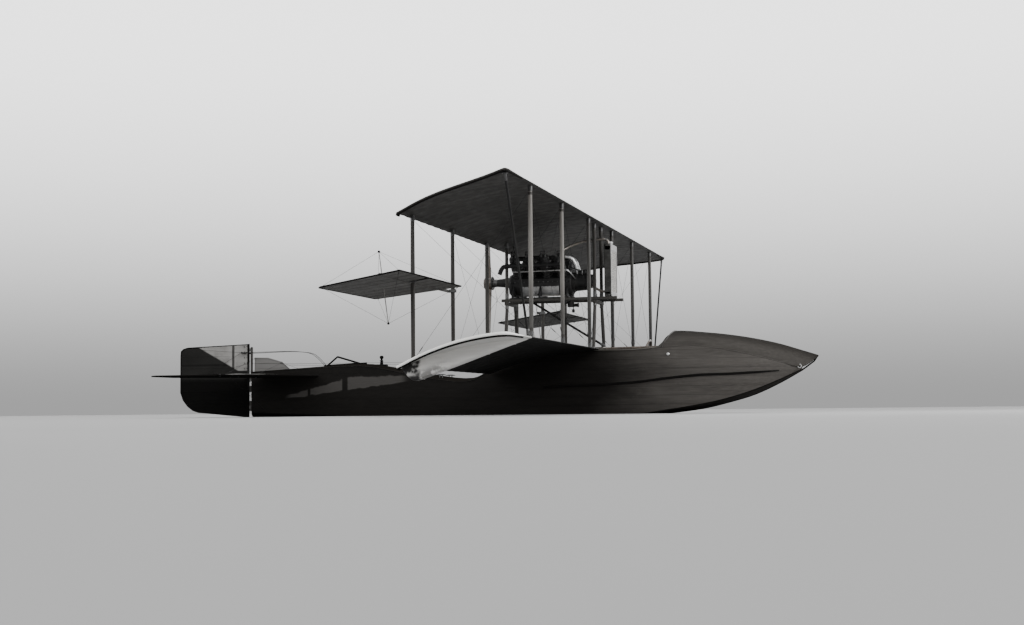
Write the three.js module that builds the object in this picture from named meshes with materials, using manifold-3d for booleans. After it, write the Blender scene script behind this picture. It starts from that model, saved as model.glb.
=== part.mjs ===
// A two-seat pusher biplane flying boat, afloat, in millimetres.
// X points to the bow, Y to port and Z up. The origin lies on the centreline, in the waterline plane,
// under the front row of wing struts.
import * as THREE from "three";
import { mergeVertices } from "three/addons/utils/BufferGeometryUtils.js";
import Module from "manifold-3d";

const wasm = await Module();
wasm.setup();

// Driving dimensions.
const BAY = 1500; // from one wing strut to the next along the span
const GAP = 1710; // from one wing to the other, along a strut
const REAR_X = -1380; // the rear strut row; the front row stands at X = 0
const INCIDENCE = THREE.MathUtils.degToRad(11.5);
const LEADING_X = 50;
const TRAILING_X = -1440;
const LEADING_HALF_SPAN = 4870; // the wing tips are raked: the leading edge is the longer one
const TRAILING_HALF_SPAN = 4080;
const CAMBER = 75;
const WING_THICK = 46;
const LOWER_Z = 840; // the lower wing's mean line at the front strut row
const UPPER_Z = LOWER_Z + GAP;
const STRUT_Y = [-2.5, -1.5, -0.5, 0.5, 1.5, 2.5].map((bays) => bays * BAY);
const STRUT_CHORD = 46;
const STRUT_THICK = 26;
const TIP_STRUT_RADIUS = 14;

const STERN_X = -5100;
const BOW_X = 2850;
const HALF_BEAM = 430;
const COCKPIT = { aft: 60, fore: 880, halfWidth: 345, floor: 150 };
const PLANING_STEP_X = -1150;

const THRUST_Z = 1800;
const PROPELLER_X = -1570;
const PROPELLER_RADIUS = 1120;
const BEARER_Y = 215;
const BEARER_Z = 1560; // top of the engine bearers
const BEARER_SIZE = 40;

const RUDDER_HINGE_X = -5165;
const ELEVATOR_HINGE_X = -4960;
const TAILPLANE_Z = 565;
const TAIL_HALF_SPAN = 1500;
const RUDDER_SWING = THREE.MathUtils.degToRad(34); // the elevators' inboard cut leaves room for this

const AILERON_Z = 1526; // the aileron hinge line, part of the way up the rear struts
const AILERON_INCIDENCE = THREE.MathUtils.degToRad(7.7);
const AILERON_INNER_Y = 2505; // ends of the leading edge
const AILERON_OUTER_Y = 4715;
const AILERON_RAKE = 200; // each end draws in by this towards the trailing edge
const AILERON_AHEAD = 251; // leading edge ahead of the hinge line, trailing edge behind it
const AILERON_BEHIND = 780;
const AILERON_SLOT = 36; // half the slot in which the outer rear strut stands
const KING_POST_BACK = 350; // behind the hinge line, along the panel
const KING_POST_HEIGHT = 430;
const KING_POST_Y = 3585;

const SEAT = 0.3; // clearance left between pieces that touch
const HINGE_GAP = 0.6;

// Colours.
const FABRIC = { color: 0xb9b6ad, roughness: 0.75, metalness: 0 };
const SPRUCE = { color: 0x9c958a, roughness: 0.5, metalness: 0 };
const DARK_WOOD = { color: 0x4b4641, roughness: 0.42, metalness: 0 };
const IRON = { color: 0x55565a, roughness: 0.5, metalness: 0.9 };
const TIN = { color: 0xa9abad, roughness: 0.4, metalness: 0.8 };
const FLOAT_PAINT = { color: 0xc6c4be, roughness: 0.5, metalness: 0 };
const LEATHER = { color: 0x3a342f, roughness: 0.6, metalness: 0 };

// Helpers.
const root = new THREE.Group();

function solid(geometry) {
  const g = geometry.clone();
  g.deleteAttribute("normal");
  g.deleteAttribute("uv");
  const merged = mergeVertices(g, 1e-3);
  return new wasm.Manifold(
    new wasm.Mesh({
      numProp: 3,
      vertProperties: new Float32Array(merged.attributes.position.array),
      triVerts: new Uint32Array(merged.index.array),
    }),
  );
}

function geometryOf(body) {
  const m = body.getMesh();
  const positions = new Float32Array(m.numVert * 3);
  for (let i = 0; i < m.numVert; i++)
    positions.set(m.vertProperties.subarray(i * m.numProp, i * m.numProp + 3), i * 3);
  return new THREE.BufferGeometry()
    .setAttribute("position", new THREE.BufferAttribute(positions, 3))
    .setIndex(new THREE.BufferAttribute(m.triVerts, 1))
    .toNonIndexed();
}

function add(name, body, look) {
  const geometry = geometryOf(body);
  geometry.computeVertexNormals();
  const mesh = new THREE.Mesh(geometry, new THREE.MeshStandardMaterial(look));
  mesh.name = name;
  root.add(mesh);
}

const join = (bodies) => bodies.reduce((a, b) => a.add(b));
const largest = (body) => body.decompose().sort((a, b) => b.volume() - a.volume())[0];

// The triangles that close a ring, in the ring's own direction. The ring may be hollow, like a wing section.
function capOf(ring) {
  const normal = v(0, 0, 0);
  ring.forEach((p, i) => normal.add(p.clone().cross(ring[(i + 1) % ring.length])));
  const turn = new THREE.Quaternion().setFromUnitVectors(normal.normalize(), v(0, 0, 1));
  const flat = ring.map((p) => p.clone().sub(ring[0]).applyQuaternion(turn));
  return THREE.ShapeUtils.triangulateShape(flat, []).map(([a, b, c]) => {
    const [p, q, r] = [flat[a], flat[b], flat[c]];
    const area = (q.x - p.x) * (r.y - p.y) - (r.x - p.x) * (q.y - p.y);
    return area > 0 ? [a, b, c] : [a, c, b];
  });
}

// A closed body through rings of equal length, all of which run the same way round.
function loft(rings) {
  const n = rings[0].length;
  const points = rings.flat().flatMap((p) => [p.x, p.y, p.z]);
  const index = [];
  for (let k = 0; k < rings.length - 1; k++)
    for (let i = 0; i < n; i++) {
      const a = k * n + i;
      const b = k * n + ((i + 1) % n);
      index.push(a, b, b + n, a, b + n, a + n);
    }
  const last = (rings.length - 1) * n;
  for (const [a, b, c] of capOf(rings[0])) index.push(a, c, b);
  for (const [a, b, c] of capOf(rings.at(-1))) index.push(last + a, last + b, last + c);
  const g = new THREE.BufferGeometry();
  g.setAttribute("position", new THREE.Float32BufferAttribute(points, 3));
  g.setIndex(index);
  const body = solid(g);
  if (body.volume() > 0) return body;
  index.reverse();
  g.setIndex(index);
  return solid(g);
}

const v = (x, y, z) => new THREE.Vector3(x, y, z);

function block(x0, x1, y0, y1, z0, z1) {
  const g = new THREE.BoxGeometry(x1 - x0, y1 - y0, z1 - z0);
  return solid(g.translate((x0 + x1) / 2, (y0 + y1) / 2, (z0 + z1) / 2));
}

// A round bar from a to b.
function rod(a, b, radius, sides = 8, endRadius = radius) {
  const along = b.clone().sub(a);
  const g = new THREE.CylinderGeometry(endRadius, radius, along.length(), sides);
  g.applyQuaternion(
    new THREE.Quaternion().setFromUnitVectors(v(0, 1, 0), along.clone().normalize()),
  );
  return solid(g.translate(...a.clone().add(b).multiplyScalar(0.5).toArray()));
}

// A round bar along a curve.
function pipe(points, radius, steps = 10) {
  const ring = new THREE.Shape().absarc(0, 0, radius, 0, Math.PI * 2);
  return solid(
    new THREE.ExtrudeGeometry(ring, {
      steps,
      curveSegments: 4,
      extrudePath: new THREE.CatmullRomCurve3(points),
    }),
  );
}

// A plate with an outline in the XZ plane, from y0 to y1.
function plateXZ(outline, y0, y1) {
  const shape = new THREE.Shape(outline.map(([x, z]) => new THREE.Vector2(x, z)));
  const g = new THREE.ExtrudeGeometry(shape, { depth: y1 - y0, bevelEnabled: false });
  return solid(g.rotateX(Math.PI / 2).translate(0, y1, 0));
}

// A plate with an outline in the XY plane, from z0 to z1.
function plateXY(outline, z0, z1) {
  const shape = new THREE.Shape(outline.map(([x, y]) => new THREE.Vector2(x, y)));
  const g = new THREE.ExtrudeGeometry(shape, { depth: z1 - z0, bevelEnabled: false });
  return solid(g.translate(0, 0, z0));
}

// Wings.
// Wing section, front to back: share of the chord, and thickness as a share of the thickest.
const SECTION = [
  [0, 0.3],
  [0.02, 0.6],
  [0.09, 0.9],
  [0.3, 1],
  [0.55, 0.88],
  [0.8, 0.6],
  [0.93, 0.4],
  [1, 0.2],
];
const FULL_CHORD = LEADING_X - TRAILING_X;
const meanRise = (x) => {
  const s = (LEADING_X - x) / FULL_CHORD;
  return x * Math.tan(INCIDENCE) + CAMBER * 4 * s * (1 - s);
};

function wingRing(y, baseZ, trailingX, thickness = 1, leadingX = LEADING_X) {
  const face = (side) =>
    SECTION.map(([s, t]) => {
      const x = leadingX - s * (leadingX - trailingX);
      return v(x, y, baseZ + meanRise(x) + (side * t * thickness * WING_THICK) / 2);
    });
  return [...face(1), ...face(-1).reverse()];
}

// Stations from the square part of the wing out to its raked tip: Y, trailing edge, thickness.
function tipStations(side) {
  const rake = (share) => [
    TRAILING_HALF_SPAN + share * (LEADING_HALF_SPAN - TRAILING_HALF_SPAN),
    TRAILING_X + share * (LEADING_X - 130 - TRAILING_X),
  ];
  return [
    [TRAILING_HALF_SPAN - 90, TRAILING_X, 1],
    [...rake(0.04), 0.95],
    [...rake(0.5), 0.8],
    [...rake(1), 0.6],
    [LEADING_HALF_SPAN + 35, LEADING_X - 60, 0.45],
  ].map(([y, x, t]) => [side * y, x, t]);
}

function wing(baseZ, side = 0, rootY = 0) {
  const tip = (s) =>
    tipStations(s).map(([y, x, t], i, all) =>
      wingRing(y, baseZ, x, t, i === all.length - 1 ? LEADING_X - 25 : LEADING_X),
    );
  if (side === 0) return loft([...tip(-1).reverse(), ...tip(1)]);
  return loft([wingRing(side * rootY, baseZ, TRAILING_X), ...tip(side)]);
}

const WING_ROOT_Y = HALF_BEAM * 1.015 + 1;
const upperWing = wing(UPPER_Z);
const lowerWings = { right: wing(LOWER_Z, -1, WING_ROOT_Y), left: wing(LOWER_Z, 1, WING_ROOT_Y) };
add("upper_wing", upperWing, FABRIC);
for (const [side, body] of Object.entries(lowerWings)) add(`lower_wing_${side}`, body, FABRIC);

// Wing struts.
// A streamlined strut between the wings, cut off at each wing's face.
const STRUT_RING = [
  [0.5, 0],
  [0.34, 0.4],
  [0.05, 0.5],
  [-0.28, 0.28],
  [-0.5, 0],
  [-0.28, -0.28],
  [0.05, -0.5],
  [0.34, -0.4],
].map(([x, y]) => [x * STRUT_CHORD, y * STRUT_THICK]);

const trimmed = (body, y) =>
  largest(
    body
      .subtract(upperWing.translate([0, 0, -SEAT]))
      .subtract(lowerWings[y < 0 ? "right" : "left"].translate([0, 0, SEAT])),
  );

function wingStrut(x, y, topX = x, topY = y) {
  const ring = (cx, cy, baseZ, swell = 1) =>
    STRUT_RING.map(([dx, dy]) =>
      v(cx + dx * swell, cy + dy * swell, baseZ + meanRise(cx + dx * swell)),
    );
  const middle = [(x + topX) / 2, (y + topY) / 2, (LOWER_Z + UPPER_Z) / 2, 1.15];
  return trimmed(loft([ring(x, y, LOWER_Z), ring(...middle), ring(topX, topY, UPPER_Z)]), y);
}

const STRUT_NAMES = [
  "right_outer",
  "right_middle",
  "right_inner",
  "left_inner",
  "left_middle",
  "left_outer",
];
// The outer and middle rear struts carry the aileron hinge brackets.
const AILERON_BAR = 19;
const AILERON_X = REAR_X - 64;
const bracket = (y) =>
  block(AILERON_X + AILERON_BAR + HINGE_GAP, REAR_X, y - 24, y + 24, AILERON_Z - 26, AILERON_Z + 26);
STRUT_Y.forEach((y, i) => {
  const rear = wingStrut(REAR_X, y);
  add(`front_strut_${STRUT_NAMES[i]}`, wingStrut(0, y), SPRUCE);
  add(`rear_strut_${STRUT_NAMES[i]}`, Math.abs(y) > BAY ? rear.add(bracket(y)) : rear, SPRUCE);
});

// The slanted struts that hold up the overhanging upper tips are round steel tubes.
for (const [name, side] of [["right", -1], ["left", 1]]) {
  const foot = v(15, side * (STRUT_Y[5] + 200), LOWER_Z + 5);
  const head = v(12, side * 4830, UPPER_Z);
  add(`tip_strut_${name}`, trimmed(rod(foot, head, TIP_STRUT_RADIUS, 10), side), IRON);
}

// Hull.
// Hull stations from stern to bow: X, keel, chine, deck edge, then half-beam at chine and deck edge.
const HULL = [
  [STERN_X, 0, 60, 640, 30, 40],
  [-4400, -25, 35, 664, 105, 120],
  [-3370, -45, 0, 690, 218, 238],
  [-2980, -50, -8, 636, 258, 276],
  [-2350, -56, -18, 508, 312, 330],
  [-1780, -60, -24, 452, 352, 368],
  [-1440, -62, -26, 590, 376, 392],
  [PLANING_STEP_X - 20, -62, -28, 672, 388, 408],
  [PLANING_STEP_X, -118, -74, 676, 390, 410],
  [-700, -120, -74, 792, 408, 426],
  [-300, -112, -66, 822, 415, 430],
  [60, -95, -52, 828, 415, 430],
  [500, -50, -14, 828, 412, 430],
  [880, 0, 38, 862, 402, 424],
  [1350, 60, 110, 876, 372, 400],
  [1700, 140, 185, 818, 330, 362],
  [2040, 240, 290, 745, 265, 302],
  [2370, 390, 425, 655, 165, 205],
  [2640, 540, 552, 592, 60, 80],
];
const hullAt = (x) => {
  const i = THREE.MathUtils.clamp(HULL.findIndex(([station]) => station >= x), 1, HULL.length - 1);
  const [a, b] = [HULL[i - 1], HULL[i]];
  const share = (x - a[0]) / (b[0] - a[0]);
  return a.map((value, k) => value + (b[k] - value) * share);
};
const DECK_CROWN = 0.16; // rise of the deck for each millimetre of half-beam
const SIDE_FULLEST = 0.5; // share of the side's height where it is widest
const SIDE_SWELL = 1.015;

function hullRing([x, keel, chine, edge, chineY, edgeY]) {
  const crown = edge + DECK_CROWN * edgeY;
  return [
    v(x, 0, keel),
    v(x, chineY, chine),
    v(x, edgeY * SIDE_SWELL, chine + (edge - chine) * SIDE_FULLEST),
    v(x, edgeY, edge),
    v(x, edgeY * 0.6, edge + (crown - edge) * 0.75),
    v(x, 0, crown),
    v(x, -edgeY * 0.6, edge + (crown - edge) * 0.75),
    v(x, -edgeY, edge),
    v(x, -edgeY * SIDE_SWELL, chine + (edge - chine) * SIDE_FULLEST),
    v(x, -chineY, chine),
  ];
}

// The foredeck is a hood over the bow: X, edge height, top height, half-width.
const HOOD = [
  [880, 862, 1088, 424],
  [1110, 870, 1089, 414],
  [1350, 876, 1068, 400],
  [1700, 818, 1028, 362],
  [2040, 745, 970, 302],
  [2370, 655, 892, 205],
  [2640, 592, 806, 112],
  [BOW_X, 640, 738, 34],
];
const HOOD_SIDES = 8;
const HOOD_RAKE = 0.6; // the rear face leans forward by this share of its height
function hoodRing([x, edge, top, halfWidth], row) {
  const ring = [];
  const lean = row === 0 ? HOOD_RAKE : 0;
  for (let i = 0; i <= HOOD_SIDES; i++) {
    const a = (i / HOOD_SIDES) * Math.PI;
    const square = 0.86; // under 1 squares the arch up at its shoulders
    const c = Math.cos(a);
    const s = Math.sin(a);
    const rise = (top - edge) * s ** square;
    ring.push(
      v(x + lean * rise, halfWidth * Math.sign(c) * Math.abs(c) ** square, edge + SEAT + rise),
    );
  }
  return ring;
}

// The hull's own top ends level with the hood's edge, so the deck forward of the cockpit is cut flat.
function hullBelowHood() {
  const rings = HOOD.map(([x, edge]) => [
    v(x, -700, edge),
    v(x, 700, edge),
    v(x, 700, 1500),
    v(x, -700, 1500),
  ]);
  return loft(rings);
}

const cockpitHole = (() => {
  const { aft, fore, halfWidth, floor } = COCKPIT;
  const corner = 90;
  return plateXY(
    [
      [aft + corner, -halfWidth],
      [fore - 6, -halfWidth],
      [fore - 6, halfWidth],
      [aft + corner, halfWidth],
      [aft, halfWidth - corner],
      [aft, -halfWidth + corner],
    ],
    floor,
    1500,
  );
})();

let hull = loft(HULL.map(hullRing)).subtract(hullBelowHood()).subtract(cockpitHole);
const hood = loft(HOOD.map(hoodRing)).subtract(hull.translate([0, 0, SEAT]));

// Cockpit coaming.
const coaming = (() => {
  const { aft, fore, halfWidth } = COCKPIT;
  const outer = block(aft - 14, fore - 8, -halfWidth - 14, halfWidth + 14, 700, 870);
  const inner = block(aft + 12, fore + 200, -halfWidth + 12, halfWidth - 12, 600, 1500);
  const slope = loft(
    [aft - 300, fore + 300].map((x) => {
      const z = 862 + (x - aft) * 0.012;
      return [v(x, -900, z), v(x, 900, z), v(x, 900, 1600), v(x, -900, 1600)];
    }),
  );
  return outer.subtract(inner).subtract(slope);
})();
hull = hull.add(coaming);
add("hull", hull, DARK_WOOD);
add("foredeck", hood, DARK_WOOD);

// Rub strakes.
// The strakes follow the sides' fullest line. Each ring sits at a hull station.
const STRAKE_AFT = -700;
const STRAKE_FORE = 2370;
for (const [name, side] of [["right", -1], ["left", 1]]) {
  const rings = HULL.filter(([x]) => x >= STRAKE_AFT && x <= STRAKE_FORE).map(
    ([x, , chine, edge, , edgeY]) => {
      const z = chine + (edge - chine) * SIDE_FULLEST;
      const inner = edgeY * SIDE_SWELL + SEAT;
      return [
        v(x, side * inner, z - 20),
        v(x, side * (inner + 16), z - 13),
        v(x, side * (inner + 16), z + 13),
        v(x, side * inner, z + 20),
      ];
    },
  );
  add(`rub_strake_${name}`, loft(rings), DARK_WOOD);
}

// Cockpit fittings.
const SEAT_X = 175;
const seatBase = block(SEAT_X, 540, -300, 300, COCKPIT.floor + SEAT, 420);
const seatBack = loft(
  [-290, 290].map((y) => [
    v(SEAT_X, y, 420),
    v(SEAT_X + 70, y, 420),
    v(SEAT_X - 5, y, 760),
    v(SEAT_X - 50, y, 760),
  ]),
);
add("seat_bench", join([seatBase, seatBack]), LEATHER);

// The control column leans aft from the floor and carries a hand wheel.
const COLUMN_FOOT = v(790, 0, COCKPIT.floor + 18);
const COLUMN_HEAD = v(640, 0, 800);
const column = join([
  rod(COLUMN_FOOT, COLUMN_HEAD, 17, 8),
  block(740, 840, -60, 60, COCKPIT.floor + SEAT, COCKPIT.floor + 30),
]);
const wheelNormal = v(-1, 0, 0.35).normalize();
const wheelTurn = new THREE.Quaternion().setFromUnitVectors(v(0, 0, 1), wheelNormal);
const WHEEL_RADIUS = 165;
const wheel = (() => {
  const onAxis = (out) => COLUMN_HEAD.clone().addScaledVector(wheelNormal, 36 + out);
  const centre = onAxis(0);
  const rim = new THREE.TorusGeometry(WHEEL_RADIUS, 13, 6, 20);
  rim.applyQuaternion(wheelTurn).translate(...centre.toArray());
  const spokes = [0, 1, 2, 3].map((i) => {
    const a = ((i + 0.5) * Math.PI) / 2;
    const tip = v(Math.cos(a), Math.sin(a), 0).multiplyScalar(WHEEL_RADIUS);
    return rod(centre, tip.applyQuaternion(wheelTurn).add(centre), 8, 6);
  });
  return join([solid(rim), rod(onAxis(-44), onAxis(18), 32, 10), ...spokes]);
})();
add("control_wheel", wheel, DARK_WOOD);
const seatedWheel = wheel.translate(wheelNormal.clone().multiplyScalar(-SEAT).toArray());
add("control_column", largest(column.subtract(seatedWheel)), IRON);

// Engine mount.
const BEARER_FORE = 260;
const BEARER_AFT = -1330;
const MOUNTS = [
  ["front", -40],
  ["rear", -1255],
];
const bearer = (side) =>
  block(
    BEARER_AFT,
    BEARER_FORE,
    side * BEARER_Y - BEARER_SIZE / 2,
    side * BEARER_Y + BEARER_SIZE / 2,
    BEARER_Z - BEARER_SIZE,
    BEARER_Z,
  );
const bearers = { right: bearer(-1), left: bearer(1) };
for (const [side, body] of Object.entries(bearers)) add(`engine_bearer_${side}`, body, SPRUCE);

// Each mount frame is a pair of raked legs from the deck to a cross-bar under the bearers.
const LEG_FOOT_Y = 350;
for (const [name, x] of MOUNTS) {
  const barTop = BEARER_Z - BEARER_SIZE - SEAT;
  const legs = [-1, 1].map((side) =>
    rod(v(x, side * LEG_FOOT_Y, 640), v(x, side * (BEARER_Y - 5), barTop - 22), 26, 8),
  );
  const bar = block(x - 26, x + 26, -BEARER_Y - 40, BEARER_Y + 40, barTop - 44, barTop);
  const frame = join([bar, ...legs]);
  add(`mount_legs_${name}`, largest(frame.subtract(hull.translate([0, 0, SEAT]))), SPRUCE);
}
// Four posts go up from the bearers to the upper wing.
for (const [name, x] of MOUNTS)
  for (const [sideName, side] of [["right", -1], ["left", 1]]) {
    const y = side * BEARER_Y;
    const ring = (z) => STRUT_RING.map(([dx, dy]) => v(x + dx, y + dy, z));
    const head = ring(0).map((p) => v(p.x, p.y, UPPER_Z + meanRise(p.x)));
    add(`cabane_${name}_${sideName}`, trimmed(loft([ring(BEARER_Z + SEAT), head]), y), SPRUCE);
  }

// Engine.
const CYLINDERS = 4; // in each bank
const CYLINDER_PITCH = 205;
const FIRST_CYLINDER_X = -1130;
const BANK_ANGLE = Math.PI / 4;
const engine = (() => {
  const crankcase = loft(
    [-1260, -1210, -410, -370].map((x, i) => {
      const s = i === 0 || i === 3 ? 0.8 : 1;
      return [
        [0, -196],
        [92, -186],
        [140, -60],
        [140, 30],
        [60, 105],
        [-60, 105],
        [-140, 30],
        [-140, -60],
        [-92, -186],
      ].map(([y, z]) => v(x, y * s, THRUST_Z + z * s));
    }),
  );
  const beside = (side, near, far) => [side * near, side * far].sort((a, b) => a - b);
  const feet = [-1, 1].map((side) =>
    block(-1220, -400, ...beside(side, 80, BEARER_Y + 20), BEARER_Z + SEAT, BEARER_Z + 34),
  );
  const lugs = [-1180, -805, -430].flatMap((x) =>
    [-1, 1].map((side) =>
      block(x - 30, x + 30, ...beside(side, 70, BEARER_Y), BEARER_Z + 20, THRUST_Z - 70),
    ),
  );
  const cylinders = [];
  for (let i = 0; i < CYLINDERS; i++)
    for (const side of [-1, 1]) {
      const x = FIRST_CYLINDER_X + i * CYLINDER_PITCH + (side > 0 ? 30 : 0);
      const out = v(0, side * Math.sin(BANK_ANGLE), Math.cos(BANK_ANGLE));
      const at = (r) => v(x, 0, THRUST_Z).addScaledVector(out, r);
      cylinders.push(rod(at(60), at(440), 66, 12));
      cylinders.push(rod(at(435), at(488), 56, 12, 30));
      cylinders.push(rod(at(480), at(512), 13, 6));
    }
  const noseCase = rod(v(PROPELLER_X + 130, 0, THRUST_Z), v(-1230, 0, THRUST_Z), 52, 12, 84);
  const pumpCase = rod(v(-390, 0, THRUST_Z - 20), v(-100, 0, THRUST_Z - 10), 135, 14, 112);
  return join([crankcase, ...feet, ...lugs, ...cylinders, noseCase, pumpCase]);
})();
add("engine", engine, IRON);

// Radiator and its pipes.
const RADIATOR = { x0: 88, x1: 182, halfWidth: 200, z0: BEARER_Z + SEAT, z1: 2270 };
const radiator = (() => {
  const { x0, x1, halfWidth, z0, z1 } = RADIATOR;
  return join([
    block(x0 + 12, x1 - 12, -halfWidth + 15, halfWidth - 15, z0 + 20, z1 - 20),
    block(x0, x1, -halfWidth, halfWidth, z0, z0 + 70),
    block(x0, x1, -halfWidth, halfWidth, z1 - 95, z1),
    block(x0, x1, -halfWidth, -halfWidth + 28, z0, z1),
    block(x0, x1, halfWidth - 28, halfWidth, z0, z1),
    block(x0 + 20, x1 - 20, -BEARER_Y - 20, BEARER_Y + 20, z0, z0 + 24),
    rod(v(135, 0, z1 - 10), v(135, 0, z1 + 42), 32, 10),
  ]);
})();
add("radiator", radiator, TIN);

const topPipe = pipe(
  [
    v(135, -120, 2262),
    v(118, -120, 2318),
    v(20, -122, 2336),
    v(-200, -140, 2312),
    v(-400, -205, 2235),
    v(-500, -300, 2150),
  ],
  17,
  14,
);
const seatedEngine = engine.translate([0, 0, SEAT]);
add("water_pipe_upper", largest(topPipe.subtract(radiator.translate([0, 0, SEAT])).subtract(seatedEngine)), TIN);
const lowPipe = pipe([v(89, -60, 1640), v(30, -60, 1640), v(-50, -50, 1680), v(-115, -40, 1730)], 17, 8);
const lowerPipe = lowPipe.subtract(radiator.translate([-SEAT, 0, 0])).subtract(engine.translate([SEAT, 0, 0]));
add("water_pipe_lower", largest(lowerPipe), TIN);

// Exhaust.
for (const [name, side] of [["right", -1], ["left", 1]]) {
  const y = side * 425;
  const log = pipe(
    [
      v(-460, y, 1990),
      v(-830, y, 1990),
      v(-1190, y, 1985),
      v(-1260, y * 1.02, 1955),
      v(-1295, y * 1.03, 1875),
    ],
    30,
    12,
  );
  const stubs = [];
  for (let i = 0; i < CYLINDERS; i++) {
    const x = FIRST_CYLINDER_X + i * CYLINDER_PITCH + (side > 0 ? 30 : 0);
    stubs.push(rod(v(x, side * 300, 2070), v(x, y, 1992), 19, 8));
  }
  const body = join([log, ...stubs]).subtract(engine.translate([0, side * SEAT, 0]));
  add(`exhaust_${name}`, largest(body), IRON);
}

// Propeller.
// Blade stations: share of the radius, width, thickness and pitch angle in degrees.
const BLADE = [
  [0.0, 96, 86, 62],
  [0.1, 98, 74, 58],
  [0.25, 132, 42, 44],
  [0.5, 178, 28, 30],
  [0.75, 184, 18, 22],
  [0.92, 142, 12, 18],
  [0.985, 84, 8, 16],
  [1.0, 30, 6, 16],
];
const propeller = (() => {
  const blade = (turn) =>
    loft(
      BLADE.map(([share, width, thick, pitch]) => {
        const a = THREE.MathUtils.degToRad(pitch);
        return [
          [0.5, 0],
          [0.2, 0.5],
          [-0.2, 0.42],
          [-0.5, 0],
          [-0.2, -0.3],
          [0.2, -0.4],
        ].map(([along, through]) => {
          const w = along * width * turn;
          const t = through * thick;
          return v(
            PROPELLER_X + t * Math.cos(a) - w * Math.sin(a) * 0.9,
            w * Math.cos(a) + t * Math.sin(a),
            THRUST_Z + turn * share * PROPELLER_RADIUS,
          );
        });
      }),
    );
  const onShaft = (x) => v(PROPELLER_X + x, 0, THRUST_Z);
  const hub = rod(onShaft(-62), onShaft(130 - HINGE_GAP), 58, 12, 50);
  const plate = rod(onShaft(48), onShaft(60), 92, 16);
  const boss = rod(onShaft(-46), onShaft(50), 86, 14);
  return join([blade(1), blade(-1), boss, plate, hub]);
})();
add("propeller", propeller, DARK_WOOD);

// Tip floats: deep pontoons under the raked tips. Their flat bottoms are steeper than the wing.
// Stations from the tail to the nose: X, bottom height, half-width.
const FLOAT_Y = 3950;
const FLOAT_STATIONS = [
  [-1425, 518, 55],
  [-1262, 392, 88],
  [-700, 590, 100],
  [-180, 773, 97],
  [-30, 822, 82],
  [18, 842, 60],
];
for (const [name, side] of [["right", -1], ["left", 1]]) {
  const rings = FLOAT_STATIONS.map(([x, bottom, half]) => {
    const top = LOWER_Z + meanRise(x) - 2;
    const bilge = bottom + Math.min(26, (top - bottom) * 0.3);
    return [
      v(x, side * FLOAT_Y - half * 0.8, bottom),
      v(x, side * FLOAT_Y + half * 0.8, bottom),
      v(x, side * FLOAT_Y + half, bilge),
      v(x, side * FLOAT_Y + half, top),
      v(x, side * FLOAT_Y - half, top),
      v(x, side * FLOAT_Y - half, bilge),
    ];
  });
  const body = loft(rings).subtract(lowerWings[name].translate([0, 0, -SEAT]));
  add(`tip_float_${name}`, largest(body), FLOAT_PAINT);
}

// Tail.
const PLATE = 26;
const finFoot = 575;
const fin = plateXZ(
  [
    [-5075, finFoot],
    [-5075, 850],
    [-4860, 842],
    [-4640, 780],
    [-4440, finFoot],
  ],
  -PLATE / 2,
  PLATE / 2,
).subtract(hull.translate([0, 0, SEAT]));
add("fin", fin, FABRIC);

const postTop = 1000;
const RUDDER_BAR = 17;
const POST_REAR = STERN_X - 28;
const rudderHinges = [140, 520, 960].map((z) =>
  block(RUDDER_HINGE_X + RUDDER_BAR + HINGE_GAP, POST_REAR, -14, 14, z - 22, z + 22),
);
add("rudder_post", join([block(POST_REAR, STERN_X - SEAT, -17, 17, 30, postTop), ...rudderHinges]), SPRUCE);

// The rudder turns behind its post. Its own leading edge is a round bar on the hinge axis.
const rudderOutline = new THREE.Shape();
rudderOutline.moveTo(RUDDER_HINGE_X, 0);
rudderOutline.lineTo(RUDDER_HINGE_X, 1045);
rudderOutline.lineTo(-6120, 1012);
rudderOutline.quadraticCurveTo(-6240, 1005, -6240, 900);
rudderOutline.lineTo(-6240, 360);
rudderOutline.quadraticCurveTo(-6150, 110, -5950, 70);
rudderOutline.closePath();
const rudderPlate = new THREE.ExtrudeGeometry(rudderOutline, {
  depth: 24,
  bevelEnabled: false,
  curveSegments: 5,
});
const rudder = join([
  solid(rudderPlate.rotateX(Math.PI / 2).translate(0, 12, 0)),
  rod(v(RUDDER_HINGE_X, 0, 0), v(RUDDER_HINGE_X, 0, 1045), RUDDER_BAR, 12),
  block(-5260, -5190, -150, 150, 905, 925),
]);
add("rudder", rudder, FABRIC);

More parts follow.
